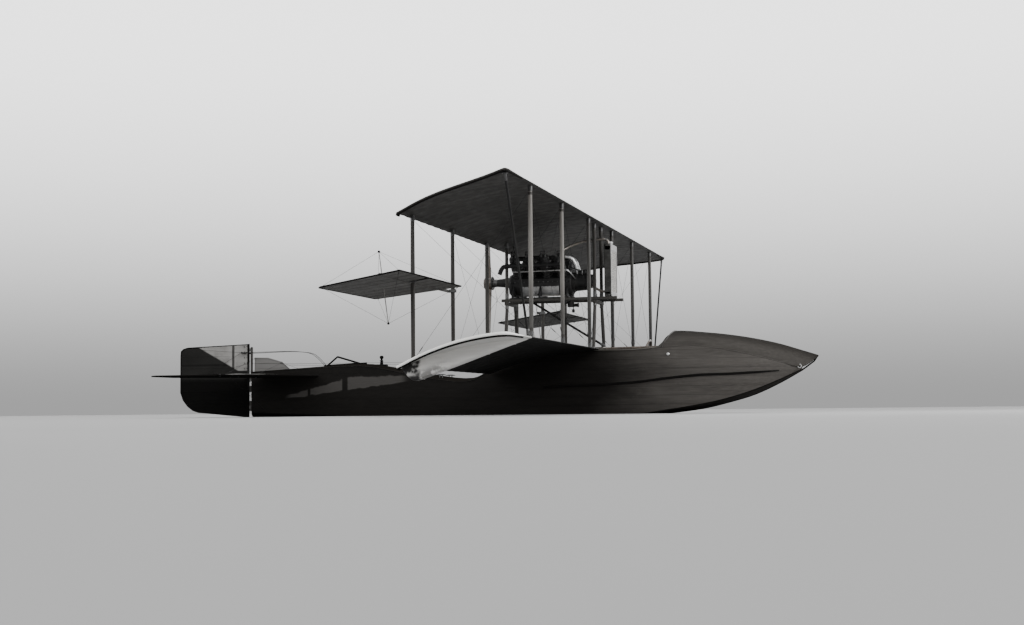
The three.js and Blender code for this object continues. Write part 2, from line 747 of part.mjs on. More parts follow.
const elevatorCut = (x) => 40 + (ELEVATOR_HINGE_X - x) * Math.tan(RUDDER_SWING) * 1.05;
const ELEVATOR_BAR = 16;
const ELEVATOR_TRAILING_X = -5960;
for (const [name, side] of [["right", -1], ["left", 1]]) {
  const front = ELEVATOR_HINGE_X + ELEVATOR_BAR + 7;
  const [, , , , , sternY] = hullAt(front);
  const tailplane = plateXY(
    [
      [-4020, side * hullAt(-4020)[5] * 0.8],
      [front, side * sternY * 0.8],
      [front, side * (TAIL_HALF_SPAN - 60)],
      [-4500, side * (TAIL_HALF_SPAN - 170)],
      [-4300, side * (TAIL_HALF_SPAN - 420)],
    ],
    TAILPLANE_Z - 19,
    TAILPLANE_Z + 19,
  ).subtract(hull.translate([0, side * SEAT, 0]));
  const rear = ELEVATOR_HINGE_X + ELEVATOR_BAR + HINGE_GAP;
  const hinges = [260, 820, 1380].map((y) =>
    block(rear, front + 30, side * y - 20, side * y + 20, TAILPLANE_Z - 13, TAILPLANE_Z + 13),
  );
  add(`tailplane_${name}`, join([tailplane, ...hinges]), FABRIC);
  const inner = 110;
  const panel = plateXY(
    [
      [ELEVATOR_HINGE_X, side * inner],
      [ELEVATOR_HINGE_X, side * TAIL_HALF_SPAN],
      [ELEVATOR_TRAILING_X + 130, side * (TAIL_HALF_SPAN - 5)],
      [ELEVATOR_TRAILING_X, side * (TAIL_HALF_SPAN - 130)],
      [ELEVATOR_TRAILING_X, side * elevatorCut(ELEVATOR_TRAILING_X)],
      [-5060, side * Math.max(elevatorCut(-5060), inner)],
    ],
    TAILPLANE_Z - 12,
    TAILPLANE_Z + 12,
  );
  const onHinge = (y) => v(ELEVATOR_HINGE_X, side * y, TAILPLANE_Z);
  const bar = rod(onHinge(inner), onHinge(TAIL_HALF_SPAN), ELEVATOR_BAR, 12);
  const hornY = side * 420;
  const horn = plateXZ(
    [
      [ELEVATOR_HINGE_X - 40, TAILPLANE_Z],
      [ELEVATOR_HINGE_X - 8, TAILPLANE_Z + 190],
      [ELEVATOR_HINGE_X + 4, TAILPLANE_Z + 190],
      [ELEVATOR_HINGE_X + 4, TAILPLANE_Z - 190],
      [ELEVATOR_HINGE_X - 8, TAILPLANE_Z - 190],
    ],
    hornY - 6,
    hornY + 6,
  );
  add(`elevator_${name}`, join([panel, bar, horn]), FABRIC);
}

// Ailerons. Each reaches ahead of its hinge, and a slot in it lets the outer rear strut pass.
// Along the panel, with the hinge at 0: half its thickness.
const AILERON_ROWS = [
  [-AILERON_AHEAD, 5],
  [-AILERON_AHEAD + 45, 10],
  [0, 14],
  [AILERON_BEHIND * 0.5, 11],
  [AILERON_BEHIND - 40, 6],
  [AILERON_BEHIND, 3],
];
for (const [name, side] of [["right", -1], ["left", 1]]) {
  const onPanel = (along, y, up) =>
    v(
      AILERON_X - along * Math.cos(AILERON_INCIDENCE) - up * Math.sin(AILERON_INCIDENCE),
      side * y,
      AILERON_Z - along * Math.sin(AILERON_INCIDENCE) + up * Math.cos(AILERON_INCIDENCE),
    );
  const panel = loft(
    AILERON_ROWS.map(([along, half]) => {
      const cut = (AILERON_RAKE * (along + AILERON_AHEAD)) / (AILERON_AHEAD + AILERON_BEHIND);
      const [inner, outer] = [AILERON_INNER_Y + cut, AILERON_OUTER_Y - cut];
      return [
        onPanel(along, inner, half),
        onPanel(along, outer, half),
        onPanel(along, outer, -half),
        onPanel(along, inner, -half),
      ];
    }),
  );
  const [slotNear, slotFar] = [STRUT_Y[5] - AILERON_SLOT, STRUT_Y[5] + AILERON_SLOT]
    .map((y) => side * y)
    .sort((a, b) => a - b);
  const slot = block(AILERON_X - 5, AILERON_X + 300, slotNear, slotFar, AILERON_Z - 90, AILERON_Z + 90);
  const onHinge = (y) => v(AILERON_X, side * y, AILERON_Z);
  const bar = rod(onHinge(STRUT_Y[4] - 45), onHinge(AILERON_OUTER_Y - 60), AILERON_BAR, 12);
  const posts = [-1, 1].map((up) =>
    rod(
      onPanel(KING_POST_BACK, KING_POST_Y, 0),
      onPanel(KING_POST_BACK, KING_POST_Y, up * KING_POST_HEIGHT),
      12,
      6,
      8,
    ),
  );
  add(`aileron_${name}`, join([panel.subtract(slot), bar, ...posts]), FABRIC);
}

// Aft deck fittings.
const deckTop = (x) => {
  const [, , , edge, , edgeY] = hullAt(x);
  return edge + DECK_CROWN * edgeY;
};
const fairlead = (() => {
  const [rear, peak, front] = [-3990, -3800, -3370];
  const foot = (x) => v(x, 0, deckTop(x) - 20);
  const apex = v(peak, 0, 835);
  const base = rod(foot(rear).add(v(-10, 0, 30)), foot(front).add(v(10, 0, 30)), 13, 6);
  return join([rod(foot(rear), apex, 13, 6), rod(apex, foot(front), 13, 6), base]);
})();
const seatedHull = hull.translate([0, 0, SEAT]);
add("deck_fairlead", largest(fairlead.subtract(seatedHull)), SPRUCE);
const post = rod(v(-3140, 0, deckTop(-3140) - 10), v(-3140, 0, 830), 17, 10, 14);
add("mooring_post", post.subtract(seatedHull), SPRUCE);

export default root;
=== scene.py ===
"""Looks of a two-seat pusher biplane flying boat, afloat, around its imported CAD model.

Metres. X points to the bow, Y to port and Z up from the waterline, where the floor lies.
"""

import math

import bmesh
import bpy
from mathutils import Matrix, Vector


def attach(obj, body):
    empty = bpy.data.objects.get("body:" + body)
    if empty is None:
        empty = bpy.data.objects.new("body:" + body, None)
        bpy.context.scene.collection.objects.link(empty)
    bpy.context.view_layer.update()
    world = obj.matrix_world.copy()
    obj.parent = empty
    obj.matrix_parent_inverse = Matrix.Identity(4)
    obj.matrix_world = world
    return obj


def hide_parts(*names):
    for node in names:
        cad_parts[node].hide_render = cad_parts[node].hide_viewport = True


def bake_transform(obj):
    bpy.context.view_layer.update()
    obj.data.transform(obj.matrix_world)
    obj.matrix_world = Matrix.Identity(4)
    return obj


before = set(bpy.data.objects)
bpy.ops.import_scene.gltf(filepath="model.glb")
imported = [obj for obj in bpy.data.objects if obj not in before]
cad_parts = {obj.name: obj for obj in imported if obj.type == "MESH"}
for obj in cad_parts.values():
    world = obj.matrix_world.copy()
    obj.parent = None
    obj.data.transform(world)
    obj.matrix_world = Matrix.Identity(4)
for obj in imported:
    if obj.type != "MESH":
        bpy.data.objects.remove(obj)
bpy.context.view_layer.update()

# The boat's main measures, as in the CAD model. The struts' front row stands at x = 0.
BAY = 1.5
REAR_X = -1.38
INCIDENCE = math.radians(11.5)
LEADING_X, TRAILING_X = 0.05, -1.44
LEADING_HALF_SPAN, TRAILING_HALF_SPAN = 4.87, 4.08
CAMBER = 0.075
WING_THICK = 0.046
LOWER_Z, UPPER_Z = 0.84, 2.55
STRUT_Y = [bays * BAY for bays in (-2.5, -1.5, -0.5, 0.5, 1.5, 2.5)]
RIB_PITCH = 0.25
HALF_BEAM, SIDE_SWELL = 0.43, 1.015
THRUST_Z = 1.8
PROPELLER_X, PROPELLER_RADIUS = -1.57, 1.12
BEARER_Y, BEARER_Z = 0.215, 1.56
RUDDER_HINGE_X, ELEVATOR_HINGE_X = -5.165, -4.96
TAILPLANE_Z = 0.565
AILERON_X, AILERON_Z = -1.444, 1.526
AILERON_TILT = math.radians(7.7)
AILERON_Y = (2.505, 4.715)
AILERON_AHEAD, AILERON_BEHIND, AILERON_RAKE = 0.251, 0.78, 0.2
# Distance behind the hinge, distance from the middle plane, and height.
KING_POST = (0.35, 3.585, 0.43)
WIRE = 0.0016
STRUT_CHORD, STRUT_THICK = 0.046, 0.026
MOUNT_X = {"front": -0.04, "rear": -1.255}
CASE_ARM_X = (-1.18, -0.805, -0.43)
EXHAUST_Y = 0.425
INLET_Y, WATER_RAIL_Y, WATER_RAIL_Z = 0.10, 0.229, 1.922
CABLE_BEND = (-4.6, 0.07, 0.925)
FLOAT_Y = 3.95
COCKPIT_AFT, COCKPIT_FORE, COCKPIT_HALF, COCKPIT_CORNER = 0.06, 0.874, 0.345, 0.09
SIDES = {"right": -1, "left": 1}
X, Y, Z = Vector((1, 0, 0)), Vector((0, 1, 0)), Vector((0, 0, 1))


class Field:
    """An output socket of a material's tree. Its operators add Math nodes."""

    def __init__(self, finish, socket):
        self.finish, self.socket = finish, socket

    def maths(self, operation, first, second):
        """The field that a Math node makes of two fields or numbers."""
        return self.finish.node("ShaderNodeMath", {"operation": operation}, {0: first, 1: second})

    def __add__(self, other):
        return self.maths("ADD", self, other)

    def __mul__(self, other):
        return self.maths("MULTIPLY", self, other)

    def __sub__(self, other):
        return self.maths("SUBTRACT", self, other)

    def __rsub__(self, other):
        return self.maths("SUBTRACT", other, self)

    __radd__, __rmul__ = __add__, __mul__

    def size(self):
        return self.maths("ABSOLUTE", self, 0.0)

    def every(self, pitch):
        """Distance to the nearest multiple of pitch."""
        return self.maths("PINGPONG", self, pitch / 2)

    def rise(self, low, high, start=0.0, end=1.0):
        """Goes smoothly from start to end as the value goes from low to high."""
        limits = {"From Min": low, "From Max": high, "To Min": start, "To Max": end}
        settings = {"interpolation_type": "SMOOTHSTEP"}
        return self.finish.node("ShaderNodeMapRange", settings, {"Value": self, **limits})

    def fall(self, low, high):
        """Goes smoothly from 1 to 0 as the value goes from low to high."""
        return self.rise(low, high, 1.0, 0.0)


class Finish:
    """One material: a node tree around a Principled shader, and the record's slot that it belongs to."""

    def __init__(self, name, slot, **constants):
        self.slot = slot
        self.material = bpy.data.materials.new(name)
        self.material.use_nodes = True
        self.tree = self.material.node_tree
        self.shader = self.tree.nodes["Principled BSDF"]
        self.place = self.node("ShaderNodeTexCoord", {}, {}, "Object")
        for socket, value in constants.items():
            self.set(socket.replace("_", " ").title().replace("Ior", "IOR"), value)

    def feed(self, socket, value):
        """Links a field to a socket, or sets the socket to a colour or a number."""
        if isinstance(value, Field):
            self.tree.links.new(value.socket, socket)
        elif isinstance(value, tuple) and socket.type == "RGBA":
            socket.default_value = (*value[:3], 1.0)
        else:
            socket.default_value = value

    def set(self, socket, value):
        self.feed(self.shader.inputs[socket], value)

    def node(self, kind, settings, inputs, out=0):
        """Adds a node with its settings and inputs, and returns one of its outputs."""
        made = self.tree.nodes.new(kind)
        for name, value in settings.items():
            setattr(made, name, value)
        for name, value in inputs.items():
            self.feed(made.inputs[name], value)
        return Field(self, made.outputs[out])

    def axis(self, name):
        """One coordinate of the place on the boat, in metres."""
        return self.node("ShaderNodeSeparateXYZ", {}, {0: self.place}, "XYZ".index(name))

    def noise(self, scale, stretch=(1, 1, 1), detail=4.0, roughness=0.55):
        place = self.node("ShaderNodeMapping", {}, {"Vector": self.place, "Scale": stretch})
        settings = {"Vector": place, "Scale": scale, "Detail": detail, "Roughness": roughness}
        return self.node("ShaderNodeTexNoise", {}, settings)

    def mix(self, share, first, second):
        """A mix of two colours, by the share of the second."""
        inputs = {0: share, 6: first, 7: second}
        return self.node("ShaderNodeMix", {"data_type": "RGBA"}, inputs, 2)

    def base(self):
        """The base colour so far."""
        return Field(self, self.shader.inputs["Base Color"].links[0].from_socket)

    def darker(self, by):
        """The base colour so far, times another colour."""
        return self.node("ShaderNodeVectorMath", {"operation": "MULTIPLY"}, {0: self.base(), 1: by})

    def paint(self, share, first, second):
        """Makes the base colour a mix of two colours."""
        self.set("Base Color", self.mix(share, first, second))

    def bump(self, height, distance, strength=1.0):
        inputs = {"Height": height, "Distance": distance, "Strength": strength}
        self.set("Normal", self.node("ShaderNodeBump", {}, inputs))


def linen(name, slot, pale, dark, tape, rough=0.62, ribs="Y", spars=(), gloss=0.3):
    """Doped linen over ribs: blotchy dope, weave, and a paler or darker tape over each rib."""
    f = Finish(name, slot, specular_ior_level=gloss)
    blotches = f.noise(1.3, (1, 0.7, 1), 5.0).rise(0.3, 0.72)
    streaks = f.noise(5.0, (0.35, 2.2, 1), 4.0).rise(0.38, 0.75)
    colour = f.mix(blotches * 0.75 + streaks * 0.25, dark, pale)
    on_rib = f.axis(ribs).every(RIB_PITCH).fall(0.010, 0.016)
    colour = f.mix(on_rib * 0.6, colour, tape)
    for x in spars:
        band = (f.axis("X") - x).size().rise(0.018, 0.03, 0.35, 0.0)
        colour = f.mix(band, colour, tape)
    f.set("Base Color", colour)
    f.set("Roughness", f.noise(9.0).rise(0.2, 0.8, rough - 0.1, rough + 0.12))
    weave = f.axis("X").every(0.0016) * 300 + f.axis("Y").every(0.0016) * 300
    wrinkles = f.noise(7.0, (1, 3, 1), 3.0)
    f.bump(on_rib * 0.5 + weave * 0.12 + wrinkles * 1.6, 0.0016, 0.7)
    return f


def timber(
    name, slot, pale, dark, along=(1, 9, 9), rough=0.4, coat=0.0, wear=None, seam=None, gloss=0.4
):
    """Varnished wood with its grain along one axis. A seam is (axis, pitch, depth) of its planks."""
    f = Finish(name, slot, coat_weight=coat, coat_roughness=0.22, specular_ior_level=gloss)
    grain = f.noise(6.0, along, 7.0, 0.62)
    rings = f.noise(1.4, along, 2.0).maths("PINGPONG", f.noise(1.4, along, 2.0) * 9, 0.5)
    figure = grain.rise(0.25, 0.78) * 0.7 + rings * 0.5
    colour = f.mix(figure, dark, pale)
    height = grain * 0.5
    if seam:
        axis, pitch, depth = seam
        groove = f.axis(axis).every(pitch).fall(0.0012, 0.0045)
        shade = f.noise(0.9, (0.5, 0.1, 14), 2.0).rise(0.3, 0.7)
        colour = f.mix(shade * 0.4, colour, tuple(c * 1.35 for c in pale))
        colour = f.mix(groove * depth, colour, tuple(c * 0.4 for c in dark))
        height = height - groove * 0.9
    if wear:
        scuffs = f.noise(3.1, (1, 1, 1.6), 8.0, 0.7).rise(0.56, 0.74)
        colour = f.mix(scuffs * 0.6, colour, wear)
    f.set("Base Color", colour)
    f.set("Roughness", f.noise(11.0, along, 5.0).rise(0.2, 0.8, rough - 0.1, rough + 0.2))
    f.bump(height, 0.0012, 0.6)
    return f


def metal(name, slot, bright, dull, rough, metallic=1.0, gloss=0.5):
    """Bare or painted metal with handling marks and grime."""
    f = Finish(name, slot, metallic=metallic, specular_ior_level=gloss)
    marks = f.noise(14.0, (1, 1, 1), 8.0, 0.65)
    colour = f.mix(marks.rise(0.3, 0.75), dull, bright)
    grime = f.noise(4.0, (1, 1, 0.6), 6.0).rise(0.52, 0.8)
    f.paint(grime * 0.7, colour, (0.02, 0.018, 0.016))
    f.set("Roughness", marks.rise(0.2, 0.8, rough - 0.1, rough + 0.15) + grime * 0.15)
    f.bump(marks, 0.0006, 0.5)
    return f


def wet_and_shaded_wood(f, low, high):
    """Darkens a hull wood aft and somewhat low down, where it is wet and where painted shade of the wings
    falls. Forward of low to high it is dry and lit.
    """
    drift = f.noise(1.1, (1, 1, 2.5), 5.0).rise(0.25, 0.75)
    forward = (f.axis("X") + drift * 0.5).rise(low, high)
    # The mask is 1 where the wood is dry and out of the painted shade.
    lit_share = forward * (f.axis("Z") + drift * 0.12).rise(0.02, 0.42, 0.55, 1.0)
    f.paint(lit_share, f.darker((0.12, 0.117, 0.113)), f.base())


def planking():
    """Hull sides: dark planks, darker aft where they are wet and under painted shade of the wings, with a
    long pale patch under the waist on each side of a frame, which is a painted reflection of the sky.
    """
    wood = ((0.069, 0.064, 0.059), (0.040, 0.037, 0.034), (0.6, 6, 11), 0.6, 0.0, (0.09, 0.084, 0.077))
    f = timber("hull_planking", "hull_wood", *wood, seam=("Z", 0.118, 0.3), gloss=0.08)
    wet_and_shaded_wood(f, 0.1, 1.55)
    # The pale patch is a painted sky reflection on the planks.
    x, z = f.axis("X"), f.axis("Z")
    ragged = z + f.noise(6.0, (1, 1, 3), 6.0) * 0.07
    over = (ragged - (x + 4.16) * 0.115).rise(0.32, 0.34)
    under = (ragged - (x + 4.5) * 0.246).fall(0.325, 0.345) * ragged.fall(0.57, 0.59)
    ends = (x + 3.6).size().fall(0.82, 0.98)
    boards = (x + 3.605).size().rise(0.03, 0.055) * (x + 4.17).size().rise(0.012, 0.03)
    sheen_patch = over * under * ends * boards
    f.paint(sheen_patch * 0.9, f.base(), (0.056, 0.053, 0.05))
    return f


def strut_wood():
    """The front struts' varnished spruce, with painted shade that darkens it towards their feet and on the
    left side.
    """
    pale, dark, scuffed = (0.23, 0.218, 0.20), (0.13, 0.122, 0.112), (0.09, 0.085, 0.078)
    f = timber("strut_spruce", "strut_wood", pale, dark, (14, 14, 0.9), 0.42, 0.1, scuffed)
    # Painted shade: dark towards the feet and on the left side.
    lit_share = f.axis("Z").rise(1.15, 1.8, 0.3, 1.0) * f.axis("Y").rise(-2.0, -1.0, 1.0, 0.24)
    f.paint(lit_share, (0.004, 0.004, 0.004), f.base())
    return f


def hood_wood():
    """The foredeck hood: smooth dull wood in one tone, with painted shade along its top."""
    tones = ((0.062, 0.058, 0.053), (0.042, 0.039, 0.036))
    f = timber("hood_wood", "hull_wood", *tones, (0.6, 6, 6), 0.8, gloss=0.03)
    forward = f.axis("X") - 0.9
    depth = 1.09 - forward * forward * 0.09 - f.axis("Z")
    # Painted shade darkens the top of the hood.
    f.paint(depth.rise(0.0, 0.15), f.darker((0.35, 0.345, 0.34)), f.base())
    return f


def float_paint():
    """Pale paint, with a dark after end and dark blotches low down on its after part."""
    wood = ((0.76, 0.75, 0.73), (0.64, 0.631, 0.61), (0.7, 5, 5), 0.5, 0.0, (0.52, 0.513, 0.497))
    f = timber("float_paint", "float_paint", *wood, gloss=0.2)
    low = (f.axis("Z") - f.axis("X") * 0.352).fall(0.87, 0.97)
    patches = f.noise(9.0, (1.0, 1, 1.4), 6.0)
    dark_blotches = patches.rise(0.42, 0.56) * (f.axis("X") + patches * 0.3).fall(-0.9, -0.6) * low
    end = (f.axis("X") + patches * 0.12).fall(-1.17, -1.12) * patches.rise(0.50, 0.68, 1.0, 0.2)
    f.paint(dark_blotches * 0.75, f.base(), (0.07, 0.068, 0.065))
    f.paint(end, f.base(), (0.022, 0.0215, 0.021))
    return f


def rudder_linen():
    """The rudder's linen: dark, and darker still low down, with a pale fore corner above a slanted edge that
    is painted light shining through the linen, and one dark rib in it.
    """
    colours = ((0.022, 0.0215, 0.0205), (0.011, 0.0108, 0.0104), (0.007, 0.0069, 0.0067))
    f = linen("rudder_linen", "tail_fabric", *colours, ribs="Z", gloss=0.02)
    x, z = f.axis("X"), f.axis("Z")
    # The pale corner is painted light shining through the linen.
    pale = (z + (x + 5.14) * 0.553).rise(0.552, 0.574) * z.rise(0.655, 0.672)
    weather = f.noise(4.0, (1, 1, 1), 6.0).rise(0.3, 0.7)
    light = f.mix(weather, (0.17, 0.165, 0.16), (0.29, 0.285, 0.275))
    rib = (x + 5.40).size().fall(0.016, 0.022)
    light = f.mix(rib * 0.9, light, (0.03, 0.029, 0.028))
    # The linen is darker still low down.
    lower_dark = f.mix(z.rise(0.50, 0.60), (0.0045, 0.0044, 0.0042), f.base())
    f.paint(pale, lower_dark, light)
    return f


def hide(name, slot, pale, dark):
    """Worn leather with a pebbled grain."""
    f = Finish(name, slot)
    settings = {"feature": "DISTANCE_TO_EDGE"}
    cells = f.node("ShaderNodeTexVoronoi", settings, {"Vector": f.place, "Scale": 210.0})
    wear = f.noise(7.0, (1, 1, 1), 6.0).rise(0.4, 0.75)
    f.paint(wear, dark, pale)
    f.set("Roughness", wear * -0.2 + 0.62)
    f.bump(cells.rise(0.0, 0.12) + f.noise(18.0) * 0.8, 0.0012, 0.8)
    return f


def core_mesh(name, slot):
    """A radiator core: rows of small cells, painted dark as shade in their hollows, between bright fins."""
    f = Finish(name, slot, metallic=0.7)
    rows = f.axis("Z").every(0.008).rise(0.0006, 0.002)
    columns = f.axis("Y").every(0.008).rise(0.0006, 0.002)
    depth = rows * columns
    fins, cells = (0.86, 0.84, 0.80), (0.16, 0.155, 0.145)
    # The dark cells are painted shade in the core's hollows.
    f.paint(depth, fins, cells)
    f.set("Roughness", depth * 0.3 + 0.4)
    f.bump(1 - depth, 0.003)
    return f


def plain_floor():
    """The pale studio floor at the waterline, with a hint of mottling."""
    f = Finish("studio_floor", "", roughness=0.75)
    f.paint(f.noise(0.35, (1, 1, 1), 3.0), (0.32, 0.32, 0.32), (0.355, 0.355, 0.355))
    return f


WING_SPARS = (-0.01, -1.37)
RUDDER_LINEN = rudder_linen()
LINEN_TOP = linen("linen_top", "wing_fabric", (0.50, 0.49, 0.465), (0.36, 0.35, 0.33), (0.60, 0.59, 0.56))
# The wing undersides are the linen darkened as painted shade, the lower wing's more deeply.
LINEN_UNDER_SHADE = linen(
    "linen_underside_shade", "wing_fabric",
    (0.042, 0.041, 0.0392), (0.024, 0.0234, 0.0226), (0.013, 0.0127, 0.0123),
    spars=WING_SPARS, gloss=0.2,
)
LINEN_LOW_SHADE = linen(
    "linen_low_underside_shade", "wing_fabric",
    (0.015, 0.0147, 0.0142), (0.008, 0.0078, 0.0075), (0.005, 0.0049, 0.0047),
    spars=WING_SPARS, gloss=0.03,
)
# The lower wing tips' pale underside is painted light shining through the linen.
LINEN_TIP_LIT = linen(
    "linen_tip_painted_light", "wing_fabric", (0.62, 0.612, 0.59), (0.50, 0.493, 0.475), (0.56, 0.553, 0.533)
)
TAIL_LINEN = linen(
    "tail_linen", "tail_fabric", (0.25, 0.245, 0.235), (0.16, 0.157, 0.15), (0.08, 0.078, 0.075)
)
# The tail panels' underside is the tail linen darkened as painted shade.
TAIL_UNDER_SHADE = linen(
    "tail_underside_shade", "tail_fabric",
    (0.012, 0.0117, 0.0113), (0.007, 0.0068, 0.0066), (0.004, 0.0039, 0.0038),
    rough=0.9, gloss=0.0,
)
FIN_LINEN = linen(
    "fin_linen", "tail_fabric",
    (0.24, 0.236, 0.228), (0.16, 0.157, 0.152), (0.13, 0.127, 0.123),
    gloss=0.1,
)
AILERON_LINEN = linen(
    "aileron_linen", "tail_fabric",
    (0.24, 0.235, 0.226), (0.15, 0.147, 0.141), (0.10, 0.098, 0.094),
    gloss=0.2,
)
# The ailerons' undersides are their linen darkened as painted shade; the far aileron's copy is darker still.
AILERON_UNDER_SHADE = linen(
    "aileron_underside_shade", "tail_fabric",
    (0.105, 0.103, 0.099), (0.064, 0.0627, 0.060), (0.045, 0.044, 0.0425),
    gloss=0.2,
)
AILERON_SHADE = linen(
    "aileron_shaded_underside", "tail_fabric",
    (0.038, 0.037, 0.0358), (0.022, 0.0215, 0.0207), (0.014, 0.0137, 0.0132),
    gloss=0.1,
)
PLANKING = planking()
DECKING = timber(
    "hull_decking", "hull_wood", (0.105, 0.098, 0.089), (0.060, 0.055, 0.050), (0.6, 10, 4),
    rough=0.85, wear=(0.14, 0.13, 0.118), seam=("Y", 0.095, 0.5), gloss=0.0,
)
# Painted shade of the wings and wetness darken the deck aft.
wet_and_shaded_wood(DECKING, -0.4, 1.2)
HOOD_WOOD = hood_wood()
BOTTOM_WOOD = timber(
    "bottom_wood", "hull_wood", (0.030, 0.028, 0.026), (0.015, 0.014, 0.013), (0.6, 6, 11),
    rough=0.8, gloss=0.02,
)
# Painted shade of the wings and wetness darken the bottom aft too.
wet_and_shaded_wood(BOTTOM_WOOD, 0.1, 1.55)
STRAKE_WOOD = timber(
    "strake_wood", "hull_wood", (0.007, 0.0066, 0.0062), (0.003, 0.0028, 0.0027), rough=0.7, gloss=0.05
)
TRIM_WOOD = timber(
    "trim_wood", "hull_wood", (0.056, 0.052, 0.047), (0.028, 0.026, 0.0235), rough=0.45, coat=0.1, gloss=0.25
)
INNER_WOOD = timber(
    "cockpit_wood", "hull_wood", (0.18, 0.156, 0.13), (0.10, 0.086, 0.071), rough=0.5, coat=0.1
)
SPRUCE = strut_wood()
TAIL_EDGE = timber(
    "tail_edge_wood", "strut_wood", (0.010, 0.0094, 0.0088), (0.005, 0.0047, 0.0044), (9, 9, 9),
    rough=0.9, gloss=0.0,
)
DARK_SPRUCE = timber(
    "shaded_spruce", "strut_wood", (0.042, 0.039, 0.0355), (0.020, 0.0186, 0.017), (14, 14, 0.9),
    rough=0.5, wear=(0.062, 0.058, 0.053), gloss=0.25,
)
BEARER_ASH = timber(
    "bearer_ash", "strut_wood", (0.045, 0.042, 0.038), (0.022, 0.0205, 0.0187), (0.9, 14, 14),
    rough=0.45, gloss=0.25,
)
WALNUT = timber(
    "propeller_walnut", "laminated_wood", (0.088, 0.064, 0.046), (0.038, 0.027, 0.020), (9, 9, 1),
    rough=0.3, coat=0.4,
)
STEEL = metal("dark_steel", "engine_iron", (0.15, 0.15, 0.15), (0.07, 0.07, 0.07), 0.45)
WIRE_STEEL = metal(
    "wire_steel", "engine_iron", (0.022, 0.022, 0.022), (0.012, 0.012, 0.012), 0.7, 0.0, gloss=0.05
)
TUBE_BLACK = metal(
    "black_tube", "engine_iron", (0.016, 0.016, 0.016), (0.008, 0.008, 0.008), 0.6, 0.0, gloss=0.15
)
IRON = metal(
    "engine_black_iron", "engine_iron", (0.018, 0.018, 0.0183), (0.008, 0.008, 0.0082), 0.5, 0.2, gloss=0.25
)
JACKET = metal(
    "water_jacket_iron", "engine_iron", (0.06, 0.06, 0.06), (0.025, 0.025, 0.025), 0.42, 0.5, gloss=0.35
)
COPPER = metal("pipe_copper", "sheet_metal", (0.30, 0.27, 0.245), (0.15, 0.135, 0.122), 0.34)
TIN = metal("tinned_sheet", "sheet_metal", (0.66, 0.66, 0.66), (0.46, 0.46, 0.46), 0.34)
RADIATOR_CORE = core_mesh("radiator_core", "sheet_metal")
RADIATOR_SHELL = metal("radiator_shell", "sheet_metal", (0.085, 0.084, 0.081), (0.045, 0.0445, 0.043), 0.42)
PAN_METAL = metal("cast_pan", "sheet_metal", (0.48, 0.48, 0.48), (0.30, 0.30, 0.30), 0.42, 0.8)
FLOAT_PAINT = float_paint()
# White paint; on the lower tip rims it is a painted highlight along their rounded top.
TIP_WHITE = timber(
    "white_paint_and_tip_highlight", "float_paint", (0.93, 0.925, 0.905), (0.84, 0.835, 0.815), (0.7, 5, 5), rough=0.45
)
SEAT_HIDE = hide("seat_hide", "seat_leather", (0.12, 0.090, 0.070), (0.05, 0.038, 0.030))
RUBBER = metal("black_rubber", "engine_iron", (0.035, 0.035, 0.035), (0.018, 0.018, 0.018), 0.7, 0.0)


def v(x, y, z):
    """A point or a direction."""
    return Vector((x, y, z))


def on_side(side, *points):
    """Points that are given for the left side, on the named side."""
    return [v(x, side * y, z) for x, y, z in points]


def around(centre, side, up, radius, count, first=0.0):
    """Points on a circle in the plane of side and up, from a share of a step on."""
    angles = [2 * math.pi * (k + first) / count for k in range(count)]
    return [centre + (side * math.cos(a) + up * math.sin(a)) * radius for a in angles]


def split(points, steps):
    """Points along straight lines from corner to corner, so many to each line, and the last corner."""
    out = []
    for a, b in zip(points, points[1:]):
        out += [tuple(p + (q - p) * k / steps for p, q in zip(a, b)) for k in range(steps)]
    return out + [points[-1]]


def bend(points, cuts):
    """Points on a smooth curve through a pipe's corner points."""
    out = []
    for i in range(len(points) - 1):
        p = [Vector(points[min(max(k, 0), len(points) - 1)]) for k in (i - 1, i, i + 1, i + 2)]
        for k in range(cuts):
            t = k / cuts
            slope, turn = p[2] - p[0], 2 * p[0] - 5 * p[1] + 4 * p[2] - p[3]
            out.append(p[1] + (slope * t + turn * t * t + (3 * p[1] - p[0] - 3 * p[2] + p[3]) * t**3) * 0.5)
    return out + [Vector(points[-1])]


